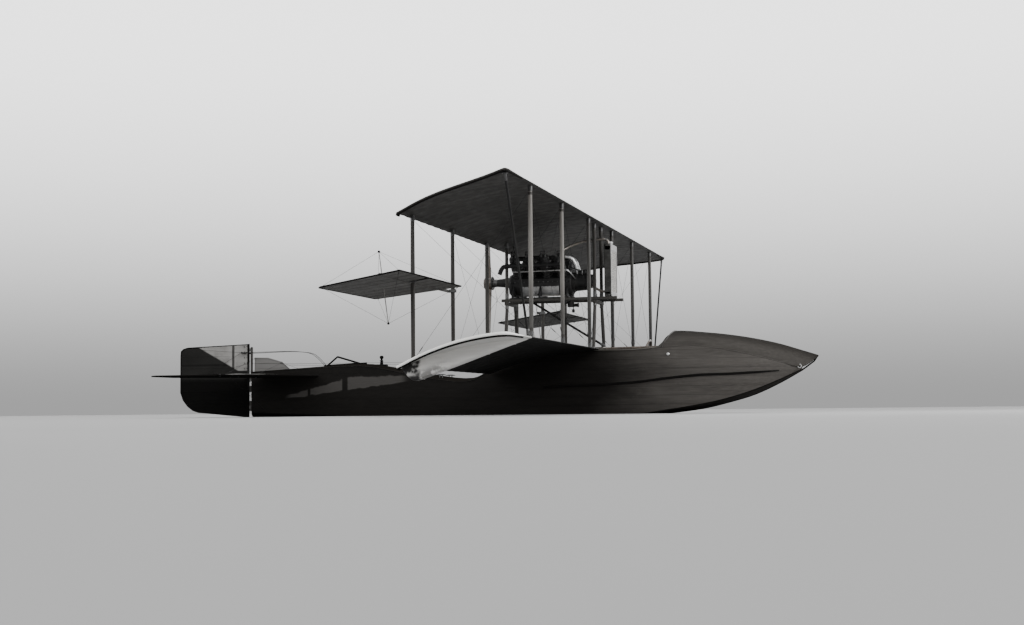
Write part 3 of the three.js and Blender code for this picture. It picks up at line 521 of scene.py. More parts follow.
class Shape:
    """The vertices and faces of one piece, and the kind of each face, which picks its finish."""

    def __init__(self):
        self.points, self.faces, self.kinds = [], [], []

    def add(self, points, faces, kind=0):
        start = len(self.points)
        self.points += [tuple(p) for p in points]
        self.faces += [[start + i for i in face] for face in faces]
        self.kinds += kind if isinstance(kind, list) else [kind] * len(faces)
        return self

    def loft(self, rings, kind=0):
        """Closed rings joined by faces and closed at both ends. The kind is one or a list for all faces."""
        n = len(rings[0])
        faces = [
            (k * n + i, k * n + (i + 1) % n, (k + 1) * n + (i + 1) % n, (k + 1) * n + i)
            for k in range(len(rings) - 1)
            for i in range(n)
        ]
        last = (len(rings) - 1) * n
        faces += [tuple(range(n))[::-1], tuple(range(last, last + n))]
        return self.add([p for ring in rings for p in ring], faces, kind)

    def tube(self, points, radius, kind=0, sides=10):
        """A round tube along points. The radius is one number or one for each point."""
        points = [Vector(p) for p in points]
        radii = radius if isinstance(radius, (list, tuple)) else [radius] * len(points)
        last = len(points) - 1
        ways = [(points[min(i + 1, last)] - points[max(i - 1, 0)]).normalized() for i in range(last + 1)]
        side = ways[0].orthogonal().normalized()
        rings = []
        for p, way, r in zip(points, ways, radii):
            side = (side - way * side.dot(way)).normalized()
            rings.append(around(p, side, way.cross(side), r, sides))
        return self.loft(rings, kind)

    def turned(self, base, axis, profile, kind=0, sides=20):
        """A turned body: profile is a list of (distance along the axis, radius)."""
        base, axis = Vector(base), Vector(axis).normalized()
        side = axis.orthogonal().normalized()
        up = axis.cross(side)
        return self.loft([around(base + axis * d, side, up, r, sides) for d, r in profile], kind)

    def bolt(self, base, axis, radius, height, kind=1, sides=6):
        """A straight bolt head, pin or disc, which stands on its base along the axis."""
        return self.turned(base, axis, [(0, radius), (height, radius)], kind, sides)

    def block(self, one, other, kind=0, edge=0.003):
        """A box between two opposite corners, with chamfered edges along its longest side."""
        low, high = [min(pair) for pair in zip(one, other)], [max(pair) for pair in zip(one, other)]
        size = [h - l for l, h in zip(low, high)]
        a = size.index(max(size))
        b, c = [i for i in range(3) if i != a]
        e = min(edge, size[b] * 0.3, size[c] * 0.3)

        def ring(t, inset):
            lb, hb, lc, hc = low[b] + inset, high[b] - inset, low[c] + inset, high[c] - inset
            corners = [(lb + e, lc), (hb - e, lc), (hb, lc + e), (hb, hc - e)]
            corners += [(hb - e, hc), (lb + e, hc), (lb, hc - e), (lb, lc + e)]
            out = []
            for q, r in corners:
                p = [0, 0, 0]
                p[a], p[b], p[c] = t, q, r
                out.append(p)
            return out

        ends = [(low[a], e), (low[a] + e, 0), (high[a] - e, 0), (high[a], e)]
        return self.loft([ring(t, inset) for t, inset in ends], kind)

    def hoop(self, centre, normal, radius, thick, kind=0, count=32, sides=8):
        """A round ring of count joints, each with so many sides."""
        centre, normal = Vector(centre), Vector(normal).normalized()
        side = normal.orthogonal().normalized()
        points = []
        for out in around(v(0, 0, 0), side, normal.cross(side), 1.0, count):
            points += around(centre + out * radius, out, normal, thick, sides)
        faces = [
            (i * sides + k, i * sides + (k + 1) % sides, j * sides + (k + 1) % sides, j * sides + k)
            for i in range(count)
            for j in [(i + 1) % count]
            for k in range(sides)
        ]
        return self.add(points, faces, kind)

    def piece(self, name, finishes, body="airframe", replaces=(), sharp=35.0, bevel=0.0):
        """Makes the object. finishes holds one Finish for each kind of face."""
        finishes = finishes if isinstance(finishes, (list, tuple)) else [finishes]
        mesh = bpy.data.meshes.new(name)
        mesh.from_pydata(self.points, [], self.faces)
        mesh.polygons.foreach_set("material_index", self.kinds)
        tidy = bmesh.new()
        tidy.from_mesh(mesh)
        bmesh.ops.recalc_face_normals(tidy, faces=tidy.faces)
        tidy.to_mesh(mesh)
        tidy.free()
        for finish in finishes:
            mesh.materials.append(finish.material)
        mesh.shade_smooth()
        mesh.set_sharp_from_angle(angle=math.radians(sharp))
        piece = bpy.data.objects.new(name, mesh)
        bpy.context.scene.collection.objects.link(piece)
        if bevel:
            rounding = piece.modifiers.new("rounding", "BEVEL")
            rounding.width, rounding.segments = bevel, 2
            rounding.limit_method, rounding.angle_limit = "ANGLE", math.radians(40)
        if body:
            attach(piece, body)
        if replaces:
            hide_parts(*replaces)
        return piece


def dress(node, finish):
    """Gives a CAD node that stays in view its own finish."""
    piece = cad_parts[node]
    piece.material_slots[0].material = finish.material


def smooth_row(rows, x):
    """The row at x on a smooth curve through a table's rows, whose first column rises."""
    i = next((k for k in range(1, len(rows) - 1) if rows[k][0] >= x), len(rows) - 1)
    before, a, b, after = rows[max(i - 2, 0)], rows[i - 1], rows[i], rows[min(i + 1, len(rows) - 1)]
    step = b[0] - a[0]
    t = (x - a[0]) / step
    out = [x]
    for k in range(1, len(a)):
        start = (b[k] - before[k]) / (b[0] - before[0]) * step
        end = (after[k] - a[k]) / (after[0] - a[0]) * step
        out.append(
            a[k] * (2 * t**3 - 3 * t**2 + 1)
            + start * (t**3 - 2 * t**2 + t)
            + b[k] * (3 * t**2 - 2 * t**3)
            + end * (t**3 - t**2)
        )
    return out


def finer(rows, cuts):
    """The x of each row, and of cuts points between each two."""
    xs = [row[0] for row in rows]
    between = [a + (b - a) * k / (cuts + 1) for a, b in zip(xs, xs[1:]) for k in range(cuts + 1)]
    return between + [xs[-1]]


# The wing section: share of the chord from the nose, and share of the full thickness there.
SECTION = [(0, 0.3), (0.02, 0.6), (0.09, 0.9), (0.3, 1.0), (0.55, 0.88), (0.8, 0.6), (0.93, 0.4), (1.0, 0.2)]


def mean_rise(x, camber=CAMBER):
    """How far the wing's middle line lies above its base height at x."""
    s = (LEADING_X - x) / (LEADING_X - TRAILING_X)
    return x * math.tan(INCIDENCE) + camber * 4 * s * (1 - s)


def tip_camber(y, base_z):
    """The upper wing flattens out along its raked tips, the lower wing keeps its camber."""
    rake = (abs(y) - TRAILING_HALF_SPAN) / (LEADING_HALF_SPAN - TRAILING_HALF_SPAN)
    return CAMBER * (1 - min(max(rake, 0.0), 1.0)) if base_z == UPPER_Z else CAMBER


def wing_plan(y):
    """Leading edge, trailing edge and thickness share of the wing at a distance from the centreline."""
    rake = (y - TRAILING_HALF_SPAN) / (LEADING_HALF_SPAN - TRAILING_HALF_SPAN)
    if rake <= 0.04:
        return LEADING_X, TRAILING_X, 1.0 - 0.05 * max(0, rake) / 0.04
    if rake <= 1:
        return LEADING_X, TRAILING_X + rake * (LEADING_X - 0.13 - TRAILING_X), 0.95 - 0.35 * rake
    return LEADING_X - 0.025 * min(1, (y - LEADING_HALF_SPAN) / 0.035), LEADING_X - 0.065, 0.45


def wing_ring(y, base_z, sag):
    """A wing section. Between ribs the linen sags inwards, and the trailing edge draws in."""
    lead, trail, share = wing_plan(abs(y))
    camber = tip_camber(y, base_z)
    trail += 0.006 * sag
    shares = [0, 0.004, 0.015, 0.04, 0.08, 0.14, 0.22, 0.3, 0.4, 0.5, 0.6, 0.7, 0.79, 0.87, 0.94, 1]
    top, under = [], []
    for s in shares:
        x = lead - s * (lead - trail)
        half = smooth_row(SECTION, s)[1] * WING_THICK * share / 2
        slack = 0.0045 * sag * min(1, s / 0.12) * min(1, (1 - s) / 0.1)
        top.append(v(x, y, base_z + mean_rise(x, camber) + half - slack))
        under.append(v(x, y, base_z + mean_rise(x, camber) - half + slack * 0.9))
    nose = v(lead + 0.005, y, base_z + mean_rise(lead, camber))
    return [nose] + top + under[::-1]


def wing_panel(name, node, base_z, start, end, under, tip_from=9.0):
    """A linen-covered panel from start to end along the span. The nose has the finish of the underside.

    From tip_from outwards the underside is painted pale, as painted light shining through the linen.
    """
    cuts = 4
    first, last = round(start / RIB_PITCH * cuts), round(end / RIB_PITCH * cuts)
    inner = [k * RIB_PITCH / cuts for k in range(first, last + 1)]
    rings = []
    for y in [start] + [y for y in inner if start < y < end] + [end]:
        in_tip = abs(y) > TRAILING_HALF_SPAN - 0.05
        sag = 0.0 if in_tip else math.sin(math.pi * (y / RIB_PITCH % 1)) ** 2
        rings.append(wing_ring(y, base_z, sag))
    n = len(rings[0])
    kinds = []
    for a, b in zip(rings, rings[1:]):
        below = 2 if min(abs(a[0].y), abs(b[0].y)) > tip_from else 1
        kinds += [0 if 3 < i < (n + 1) // 2 else below for i in range(n)]
    skin = Shape().loft(rings, kinds + [1, 1])
    return skin.piece(name, [LINEN_TOP, under, LINEN_TIP_LIT], replaces=[node], sharp=50)


def tip_bow(shape, base_z, side, fat):
    """The bent wood rim along a raked tip and round its fore corner, and under it a dark cord that stands in
    for the shade line beneath the rim.
    """
    points = []
    for k in range(21):
        y = TRAILING_HALF_SPAN - 0.06 + 0.885 * k / 20
        trail = wing_plan(y)[1]
        points.append(v(trail, side * y, base_z + mean_rise(trail, tip_camber(y, base_z))))
    radii = [fat] * len(points)
    corner = [(0.03, 4.895, 1.0), (0.01, 4.885, 0.95), (0.0, 4.84, 0.85)]
    corner += [(0.0, 4.7, 0.7), (0.0, 4.5, 0.55), (0.0, 4.3, 0.4)]
    for back, y, share in corner:
        points.append(v(LEADING_X - back, side * y, base_z + mean_rise(LEADING_X)))
        radii.append(fat * share)
    shape.tube(points, radii, 0, 14)
    # The dark cord is painted shade under the rim.
    shape.tube([p - v(0.004, 0, r + 0.006) for p, r in zip(points, radii)], 0.012, 1, 8)


def wings():
    """The skins of the three wing panels, and the rims of their raked tips."""
    root, end = HALF_BEAM * SIDE_SWELL + 0.001, LEADING_HALF_SPAN + 0.033
    wing_panel("upper_wing_skin", "upper_wing", UPPER_Z, -end, end, LINEN_UNDER_SHADE)
    wing_panel("lower_wing_skin_left", "lower_wing_left", LOWER_Z, root, end, LINEN_LOW_SHADE, 3.9)
    wing_panel("lower_wing_skin_right", "lower_wing_right", LOWER_Z, -end, -root, LINEN_LOW_SHADE, 3.9)
    # The lower rims are white as a painted highlight.
    bows = (("lower", LOWER_Z, 0.018, TIP_WHITE), ("upper", UPPER_Z, 0.012, DARK_SPRUCE))
    for place, base_z, fat, wood in bows:
        rims = Shape()
        for side in SIDES.values():
            tip_bow(rims, base_z, side, fat)
        rims.piece(f"{place}_tip_bows", [wood, STRAKE_WOOD])


STRUT_RING = [(0.5, 0), (0.42, 0.26), (0.25, 0.44), (0.05, 0.5), (-0.15, 0.42), (-0.33, 0.24), (-0.5, 0)]
STRUT_RING += [(x, -y) for x, y in STRUT_RING[-2:0:-1]]


def strut(name, node, foot, head, wood, swell=0.15):
    """A streamlined strut that swells to its middle, in short steel sockets bound with cord."""
    foot, head = Vector(foot), Vector(head)
    shape = Shape()

    def ring(t, more=0.0):
        grow = 1 + swell * math.sin(math.pi * t)
        chord, thick = STRUT_CHORD * grow + more, STRUT_THICK * grow + more
        return [foot.lerp(head, t) + v(x * chord, y * thick, 0) for x, y in STRUT_RING]

    shape.loft([ring(k / 12) for k in range(13)])
    length = (head - foot).length
    for start, way in ((0.0, 1), (1.0, -1)):
        marks = [start + way * d / length for d in (0.0, 0.075, 0.085, 0.115)]
        shape.loft([ring(mark, 0.006) for mark in marks[:2]], 1)
        shape.loft([ring(mark, 0.003) for mark in marks[2:]], 2)
    shape.piece(name, [wood, STEEL, TRIM_WOOD], replaces=[node], sharp=50)


def struts():
    """The wing struts, the posts over the engine bearers, and the steel tubes to the upper tips."""
    names = ["right_outer", "right_middle", "right_inner", "left_inner", "left_middle", "left_outer"]
    for y, place in zip(STRUT_Y, names):
        for row, x, wood in (("front", 0.0, SPRUCE), ("rear", REAR_X, DARK_SPRUCE)):
            foot, head = (v(x, y, wing_z + mean_rise(x)) for wing_z in (LOWER_Z, UPPER_Z))
            strut(f"{row}_strut_wood_{place}", f"{row}_strut_{place}", foot, head, wood)
    for name, side in SIDES.items():
        for row, x in MOUNT_X.items():
            foot, head = v(x, side * BEARER_Y, BEARER_Z), v(x, side * BEARER_Y, UPPER_Z + mean_rise(x))
            strut(f"cabane_wood_{row}_{name}", f"cabane_{row}_{name}", foot, head, DARK_SPRUCE, 0.0)
        foot, head = on_side(side, (0.015, FLOAT_Y, 0.868), (0.012, 4.83, 2.527))
        along = (head - foot).normalized()
        tube = Shape().tube([foot, head], 0.0135, 0, 16)
        for end, way in ((foot, along), (head, -along)):
            socket = [end - way * 0.004, end + way * 0.05, end + way * 0.085]
            tube.tube(socket, [0.017, 0.017, 0.0136], 1, 12)
            tube.hoop(end + way * 0.03, X, 0.012, 0.005, 1, 14, 6)
            tube.block(end + v(-0.035, -0.028, -0.006), end + v(0.028, 0.028, 0.004), 1)
        tube.piece(f"tip_strut_tube_{name}", [TUBE_BLACK, STEEL], replaces=[f"tip_strut_{name}"])


def aileron_brackets():
    """Forged hinge brackets on the rear struts that carry the ailerons."""
    shape = Shape()
    for y in (STRUT_Y[0], STRUT_Y[1], STRUT_Y[4], STRUT_Y[5]):
        aft = (AILERON_X + 0.0196, y - 0.024, AILERON_Z - 0.02)
        shape.block(aft, (REAR_X + 0.04, y + 0.024, AILERON_Z + 0.02))
        for z in (-0.012, 0.012):
            shape.bolt((REAR_X + 0.01, y - 0.0265, AILERON_Z + z), Y, 0.005, 0.053, 0)
    shape.piece("aileron_brackets", STEEL)


def wire_with_ends(shape, a, b, buckle=True):
    """A taut wire with an eye plate at each end and a turnbuckle near its foot."""
    a, b = Vector(a), Vector(b)
    along = (b - a).normalized()
    shape.tube([a, b], WIRE, 0, 6)
    for end, way in ((a, along), (b, -along)):
        shape.tube([end - way * 0.004, end + way * 0.035], 0.004, 0, 6)
    if buckle:
        c = a + along * 0.12
        radii = [0.002, 0.005, 0.005, 0.002]
        shape.tube([c, c + along * 0.015, c + along * 0.065, c + along * 0.08], radii, 0, 8)


def strut_end(x, y, upper, inset=0.03):
    """A point above the lower wing or below the upper one: at a small inset, a strut's wire fitting."""
    if upper:
        return v(x, y, UPPER_Z + mean_rise(x) - WING_THICK / 2 - inset)
    return v(x, y, LOWER_Z + mean_rise(x) + WING_THICK / 2 + inset)


def rigging():
    """The wires that brace the cell of wings, from strut end to strut end."""
    bays = [(STRUT_Y[i], STRUT_Y[i + 1]) for i in (0, 1, 3, 4)]
    for row, x in (("front", 0.0), ("rear", REAR_X)):
        shape = Shape()
        # The ailerons stand in the outer rear bays.
        for a, b in bays if row == "front" else bays[1:3]:
            wire_with_ends(shape, strut_end(x, a, False), strut_end(x, b, True))
            wire_with_ends(shape, strut_end(x, b, False), strut_end(x, a, True))
            shape.hoop(strut_end(x, (a + b) / 2, False, 0.83), X, 0.006, 0.002, 1, 10, 5)
        for side in SIDES.values():
            y = side * BAY / 2
            mount = v(x, side * (BEARER_Y + 0.05), BEARER_Z - 0.02)
            wire_with_ends(shape, strut_end(x, y, False), mount)
            wire_with_ends(shape, strut_end(x, y, True), mount + v(0, 0, 0.02), buckle=False)
        shape.piece(f"{row}_rigging", [WIRE_STEEL, STEEL])
    shape = Shape()
    for y in STRUT_Y:
        wire_with_ends(shape, strut_end(0, y, False), strut_end(REAR_X, y, True))
        wire_with_ends(shape, strut_end(REAR_X, y, False), strut_end(0, y, True))
    shape.piece("incidence_rigging", [WIRE_STEEL, STEEL])


# Rows of the hull: x, height of keel, chine and deck edge, half width at the chine and at the deck edge.
HULL = [
    (-5.100, 0.000, 0.060, 0.640, 0.030, 0.040),
    (-4.400, -0.025, 0.035, 0.664, 0.105, 0.120),
    (-3.370, -0.045, 0.000, 0.690, 0.218, 0.238),
    (-2.980, -0.050, -0.008, 0.636, 0.258, 0.276),
    (-2.350, -0.056, -0.018, 0.508, 0.312, 0.330),
    (-1.780, -0.060, -0.024, 0.452, 0.352, 0.368),
    (-1.440, -0.062, -0.026, 0.590, 0.376, 0.392),
    (-1.170, -0.062, -0.028, 0.672, 0.388, 0.408),
    (-1.150, -0.118, -0.074, 0.676, 0.390, 0.410),
    (-0.700, -0.120, -0.074, 0.792, 0.408, 0.426),
    (-0.300, -0.112, -0.066, 0.822, 0.415, 0.430),
    (0.060, -0.095, -0.052, 0.828, 0.415, 0.430),
    (0.500, -0.050, -0.014, 0.828, 0.412, 0.430),
    (0.880, 0.000, 0.038, 0.862, 0.402, 0.424),
    (1.350, 0.060, 0.110, 0.876, 0.372, 0.400),
    (1.700, 0.140, 0.185, 0.818, 0.330, 0.362),
    (2.040, 0.240, 0.290, 0.745, 0.265, 0.302),
    (2.370, 0.390, 0.425, 0.655, 0.165, 0.205),
    (2.640, 0.540, 0.552, 0.592, 0.060, 0.080),
]
# The planing step stands between the first eight rows and the others.
AFT_HULL, FORE_HULL = HULL[:8], HULL[8:]
# Rows of the foredeck hood: x, height of its edge and its top, half width.
HOOD = [
    (0.880, 0.862, 1.088, 0.424),
    (1.110, 0.870, 1.089, 0.414),
    (1.350, 0.876, 1.068, 0.400),
    (1.700, 0.818, 1.028, 0.362),
    (2.040, 0.745, 0.970, 0.302),
    (2.370, 0.655, 0.892, 0.205),
    (2.640, 0.592, 0.806, 0.112),
    (2.850, 0.712, 0.738, 0.022),
]
DECK_CROWN = 0.16
HOOD_RAKE = 0.6
HOOD_ROUNDNESS = 0.86
COCKPIT = [
    (COCKPIT_FORE, -COCKPIT_HALF),
    (COCKPIT_AFT + COCKPIT_CORNER, -COCKPIT_HALF),
    (COCKPIT_AFT, COCKPIT_CORNER - COCKPIT_HALF),
    (COCKPIT_AFT, COCKPIT_HALF - COCKPIT_CORNER),
    (COCKPIT_AFT + COCKPIT_CORNER, COCKPIT_HALF),
    (COCKPIT_FORE, COCKPIT_HALF),
]


def hull_ring(row):
    """Half the hull's section, from the keel up its side and over the deck to the crown."""
    x, keel, chine, edge, chine_y, edge_y = row
    half = [v(x, 0, keel)]
    half += [v(x, chine_y * t, keel + (chine - keel) * (t**1.3)) for t in (0.33, 0.66, 1.0)]
    bulge = edge_y * SIDE_SWELL - (chine_y + edge_y) / 2
    for k in range(1, 8):
        t = k / 8
        lean = chine_y + (edge_y - chine_y) * t
        half.append(v(x, lean + bulge * (1 - (2 * t - 1) ** 2), chine + (edge - chine) * t))
    crown = DECK_CROWN * edge_y
    half += [v(x, edge_y * t, edge + crown * (1 - t * t)) for t in (1.0, 0.86, 0.7, 0.5, 0.25, 0.0)]
    return half


def whole(half):
    """A full ring from its left half, whose ends lie in the middle plane."""
    return half + [v(p.x, -p.y, p.z) for p in half[-2:0:-1]]


def cut(piece, cutter):
    """Cuts one closed piece with another and removes the cutter."""
    knife = piece.modifiers.new("cut", "BOOLEAN")
    knife.operation, knife.solver, knife.object = "DIFFERENCE", "EXACT", cutter
    bpy.context.view_layer.update()
    depsgraph = bpy.context.evaluated_depsgraph_get()
    made = bpy.data.meshes.new_from_object(piece.evaluated_get(depsgraph))
    piece.modifiers.clear()
    piece.data = made
    bpy.data.objects.remove(cutter)


def hull():
    """The planked shell, with the cockpit cut out of it."""
    rings = [whole(hull_ring(smooth_row(rows, x))) for rows in (AFT_HULL, FORE_HULL) for x in finer(rows, 3)]
    n = len(rings[0])
    # Each ring starts at the keel. These are its points where the side and the deck start.
    side, deck = 3, 11
    kinds = [1 if deck <= i < n - deck else (0 if side <= i < n - side else 3) for i in range(n)]
    shape = Shape().loft(rings, kinds * (len(rings) - 1) + [0, 0])
    woods = [PLANKING, DECKING, INNER_WOOD, BOTTOM_WOOD]
    piece = shape.piece("hull_shell", woods, replaces=["hull"], sharp=28)
    hole = Shape().loft([[v(x, y, z) for x, y in COCKPIT] for z in (0.15, 1.5)])
    cut(piece, hole.piece("cockpit_cutter", INNER_WOOD, body=None))


def hood_arch(row, lean, count=25):
    """The hood's section at one station. A lean tips it forward as it rises."""
    x, edge, top, half = row
    arch = []
    for i in range(count):
        a = i / (count - 1) * math.pi
        c, rise = math.cos(a), (top - edge) * max(math.sin(a), 0) ** HOOD_ROUNDNESS
        arch.append(v(x + lean * rise, half * math.copysign(abs(c) ** HOOD_ROUNDNESS, c), edge + rise))
    return arch


def foredeck():
    """The foredeck's hood, and the boards that close its raised rear edge down to the coaming."""
    arches = []
    for row in [smooth_row(HOOD, x) for x in finer(HOOD, 4)]:
        fade = max(0.0, 1 - (row[0] - HOOD[0][0]) / (HOOD[1][0] - HOOD[0][0]))
        arches.append(hood_arch(row, HOOD_RAKE * fade))
    Shape().loft(arches).piece("foredeck_hood", HOOD_WOOD, replaces=["foredeck"], sharp=40)
    cheeks = Shape()
    outline = [(0.66, 0.832), (0.76, 0.848), (0.83, 0.876), (0.885, 0.925), (0.925, 0.985), (0.95, 1.02)]
    outline += [(0.99, 1.0), (0.97, 0.93), (0.93, 0.85), (0.90, 0.80), (0.66, 0.80)]
    _, edge, top, half = HOOD[0]
    for side in SIDES.values():
        faces = []
        for inset in (0.012, 0.028):
            ring = []
            for x, z in outline:
                share = min(1.0, max(0.0, (z - edge) / (top - edge)))
                reach = half * (1 - share ** (2 / HOOD_ROUNDNESS)) ** (HOOD_ROUNDNESS / 2)
                ring.append(v(x, side * (reach - inset), z))
            faces.append(ring)
        cheeks.loft(faces)
    cheeks.piece("cockpit_cheeks", TRIM_WOOD, sharp=50, bevel=0.002)


def seam_strips():
    """Strips that follow the hull: sheer mouldings, chine strips, stem band and the hood's raised lip."""
    sheer, chine = Shape(), Shape()
    for side in SIDES.values():
        for rows, radius in ((FORE_HULL, 0.005), (AFT_HULL, 0.006)):
            path = [smooth_row(rows, x) for x in finer(rows, 2)]
            sheer.tube([(r[0], side * (r[5] + 0.001), r[3]) for r in path], radius, sides=8)
            chine.tube([(r[0], side * r[4], r[2]) for r in path], 0.007, sides=8)
    sheer.piece("sheer_mouldings", PLANKING)
    chine.piece("chine_strips", STRAKE_WOOD)
    path = [smooth_row(FORE_HULL, x) for x in finer(FORE_HULL, 3)]
    stem = [(r[0], 0, r[1] + 0.003) for r in path] + [(2.70, 0, 0.585), (2.80, 0, 0.66), (2.852, 0, 0.735)]
    Shape().tube(stem, 0.010, sides=8).piece("stem_band", STRAKE_WOOD)
    lip = Shape().tube(hood_arch(HOOD[0], HOOD_RAKE, 41), 0.010, sides=8)
    lip.piece("breakwater_lip", TRIM_WOOD)


def rub_strakes():
    """The dark rub strake along each side, which thins towards the bow."""
    path = [smooth_row(FORE_HULL, x) for x in finer(FORE_HULL, 3) if -0.7 <= x <= 2.37]
    half = [(0, 0.016), (0.010, 0.015), (0.016, 0.010)]
    section = [(out, -up) for out, up in half] + half[::-1]
    for name, side in SIDES.items():
        rings = []
        for r in path:
            y, z = r[5] * SIDE_SWELL, (r[2] + r[3]) / 2
            thin = min(1.0, 0.3 + (2.37 - r[0]) / 0.5)
            rings.append([v(r[0], side * (y + out), z + up * thin) for out, up in section])
        Shape().loft(rings).piece(f"strake_{name}", STRAKE_WOOD, replaces=[f"rub_strake_{name}"], sharp=30)


def coaming():
    """The raised board round the cockpit, with a padded leather roll along its top."""
    path = split(COCKPIT, 8)
    rings, ridge = [], []
    for i, (x, y) in enumerate(path):
        (x0, y0), (x1, y1) = path[max(i - 1, 0)], path[min(i + 1, len(path) - 1)]
        way = Vector((x1 - x0, y1 - y0)).normalized()
        top = 0.858 + (x - COCKPIT_AFT) * 0.012
        section = ((-0.012, 0.70), (-0.012, top), (0.013, top), (0.013, 0.70))
        rings.append([v(x - way.y * d, y + way.x * d, z) for d, z in section])
        ridge.append((x, y, top))
    Shape().loft(rings).piece("coaming_board", TRIM_WOOD, sharp=60, bevel=0.003)
    Shape().tube(ridge, 0.017, sides=12).piece("coaming_roll", SEAT_HIDE, sharp=60)


def pad(size, place):
    """A stitched leather cushion, crowned, with its sides pulled in and a dimple at each button."""
    shape = Shape()
    nx, ny = 24, 32
    rows, columns = 3, 2
    crown = 0.012
    spots = [((a + 0.5) / columns, (b + 0.5) / rows) for a in range(columns) for b in range(rows)]

    def pulled(s, t):
        in_s = 0.012 * math.sin(math.pi * t) * (2 * s - 1) ** 7
        in_t = 0.012 * math.sin(math.pi * s) * (2 * t - 1) ** 7
        return s * size[0] - in_s, t * size[1] - in_t

    def height(s, t):
        edge = (1 - abs(2 * s - 1) ** 6) * (1 - abs(2 * t - 1) ** 6)
        near = min(math.hypot((s - a) * size[0], (t - b) * size[1]) for a, b in spots)
        dimple = 0.022 * math.exp(-((near / 0.035) ** 2))
        return max(edge * (size[2] + crown * math.sin(math.pi * s) * math.sin(math.pi * t)) - dimple, 0.004)

    grid = [(i / nx, j / ny) for i in range(nx + 1) for j in range(ny + 1)]
    shape.points = [tuple(place(*pulled(s, t), 0.0)) for s, t in grid]
    shape.points += [tuple(place(*pulled(s, t), height(s, t))) for s, t in grid]
    layer = (nx + 1) * (ny + 1)
    for i in range(nx):
        for j in range(ny):
            a = i * (ny + 1) + j
            quad = [a, a + 1, a + ny + 2, a + ny + 1]
            shape.faces += [quad[::-1], [layer + corner for corner in quad]]
    rim = [i * (ny + 1) for i in range(nx)] + [nx * (ny + 1) + j for j in range(ny)]
    rim += [i * (ny + 1) + ny for i in range(nx, 0, -1)] + [j for j in range(ny, 0, -1)]
    shape.faces += [[a, b, b + layer, a + layer] for a, b in zip(rim, rim[1:] + rim[:1])]
    shape.kinds = [0] * len(shape.faces)
    for s, t in spots:
        button = [place(s * size[0], t * size[1], size[2] - sunk) for sunk in (0.012, 0.006)]
        shape.tube(button, [0.008, 0.006], 1, 12)
    corners = [(0.01, 0.01), (0.99, 0.01), (0.99, 0.99), (0.01, 0.99), (0.01, 0.01)]
    piping = [place(*pulled(s, t), 0.006) for s, t in split(corners, 8)]
    return shape.tube(piping, 0.0045, 0, 8)


def seats():
    """The bench: a wooden box and back board, with two buttoned cushions and two back pads."""
    bench = Shape()
    bench.block((0.175, -0.30, 0.1503), (0.54, 0.30, 0.375), edge=0.006)
    back = [(0.172, 0.37), (0.196, 0.37), (0.15, 0.755), (0.126, 0.755)]
    bench.loft([[v(x, y, z) for x, z in back] for y in (-0.29, 0.29)])
    bench.piece("bench_wood", INNER_WOOD, replaces=["seat_bench"], bevel=0.004)
    lean = math.atan2(0.046, 0.385)
    for name, side in SIDES.items():
        start = min(side * 0.006, side * 0.296)
        seat = pad((0.345, 0.29, 0.045), lambda s, t, up: v(0.20 + s, start + t, 0.374 + up))
        seat.piece(f"seat_cushion_{name}", [SEAT_HIDE, STEEL], sharp=70)

        def leaning(s, t, out):
            x = 0.193 - math.sin(lean) * s + math.cos(lean) * out
            return v(x, start + t, 0.41 + math.cos(lean) * s + math.sin(lean) * out)

        rest = pad((0.32, 0.29, 0.034), leaning)
        rest.piece(f"back_cushion_{name}", [SEAT_HIDE, STEEL], sharp=70)


def controls():
    """Hand wheel on a leaning column with its foot plate, and the cockpit's floor boards and frames."""
    foot, head = v(0.79, 0, 0.168), v(0.64, 0, 0.80)
    normal = v(-1, 0, 0.35).normalized()
    centre = head + normal * 0.036
    wheel = Shape().hoop(centre, normal, 0.165, 0.013, 0, 48, 12)
    side = normal.orthogonal().normalized()
    for tip in around(centre, side, normal.cross(side), 0.165, 4, 0.5):
        wheel.tube([centre, centre.lerp(tip, 0.5), tip], [0.010, 0.007, 0.009], 1, 8)
    hub = [(0, 0.018), (0.01, 0.03), (0.052, 0.032), (0.062, 0.02)]
    wheel.turned(centre - normal * 0.044, normal, hub, 1)
    wheel.piece("hand_wheel", [WALNUT, STEEL], replaces=["control_wheel"])
    column = Shape()
    column.tube([foot, foot.lerp(head, 0.5), head - normal * 0.01], [0.017, 0.018, 0.015], sides=14)
    column.block((0.74, -0.06, 0.15), (0.84, 0.06, 0.178))
    for y in (-0.045, 0.045):
        for x in (0.752, 0.828):
            column.bolt((x, y, 0.176), Z, 0.007, 0.007, 0)
    column.hoop(foot + v(-0.012, 0, 0.05), (0.15, 0, -0.63), 0.019, 0.005)
    column.piece("wheel_column", STEEL, replaces=["control_column"])
    boards = Shape()
    for k in range(6):
        y = -0.335 + k * 0.112
        boards.block((0.075, y, 0.145), (0.868, y + 0.106, 0.153), edge=0.002)
    boards.piece("floor_boards", INNER_WOOD)
    frames = Shape()
    for x in (0.16, 0.34, 0.52, 0.70, 0.85):
        for side in SIDES.values():
            frames.block((x - 0.01, side * 0.347, 0.15), (x + 0.01, side * 0.330, 0.70))
    frames.piece("hull_frames", INNER_WOOD)


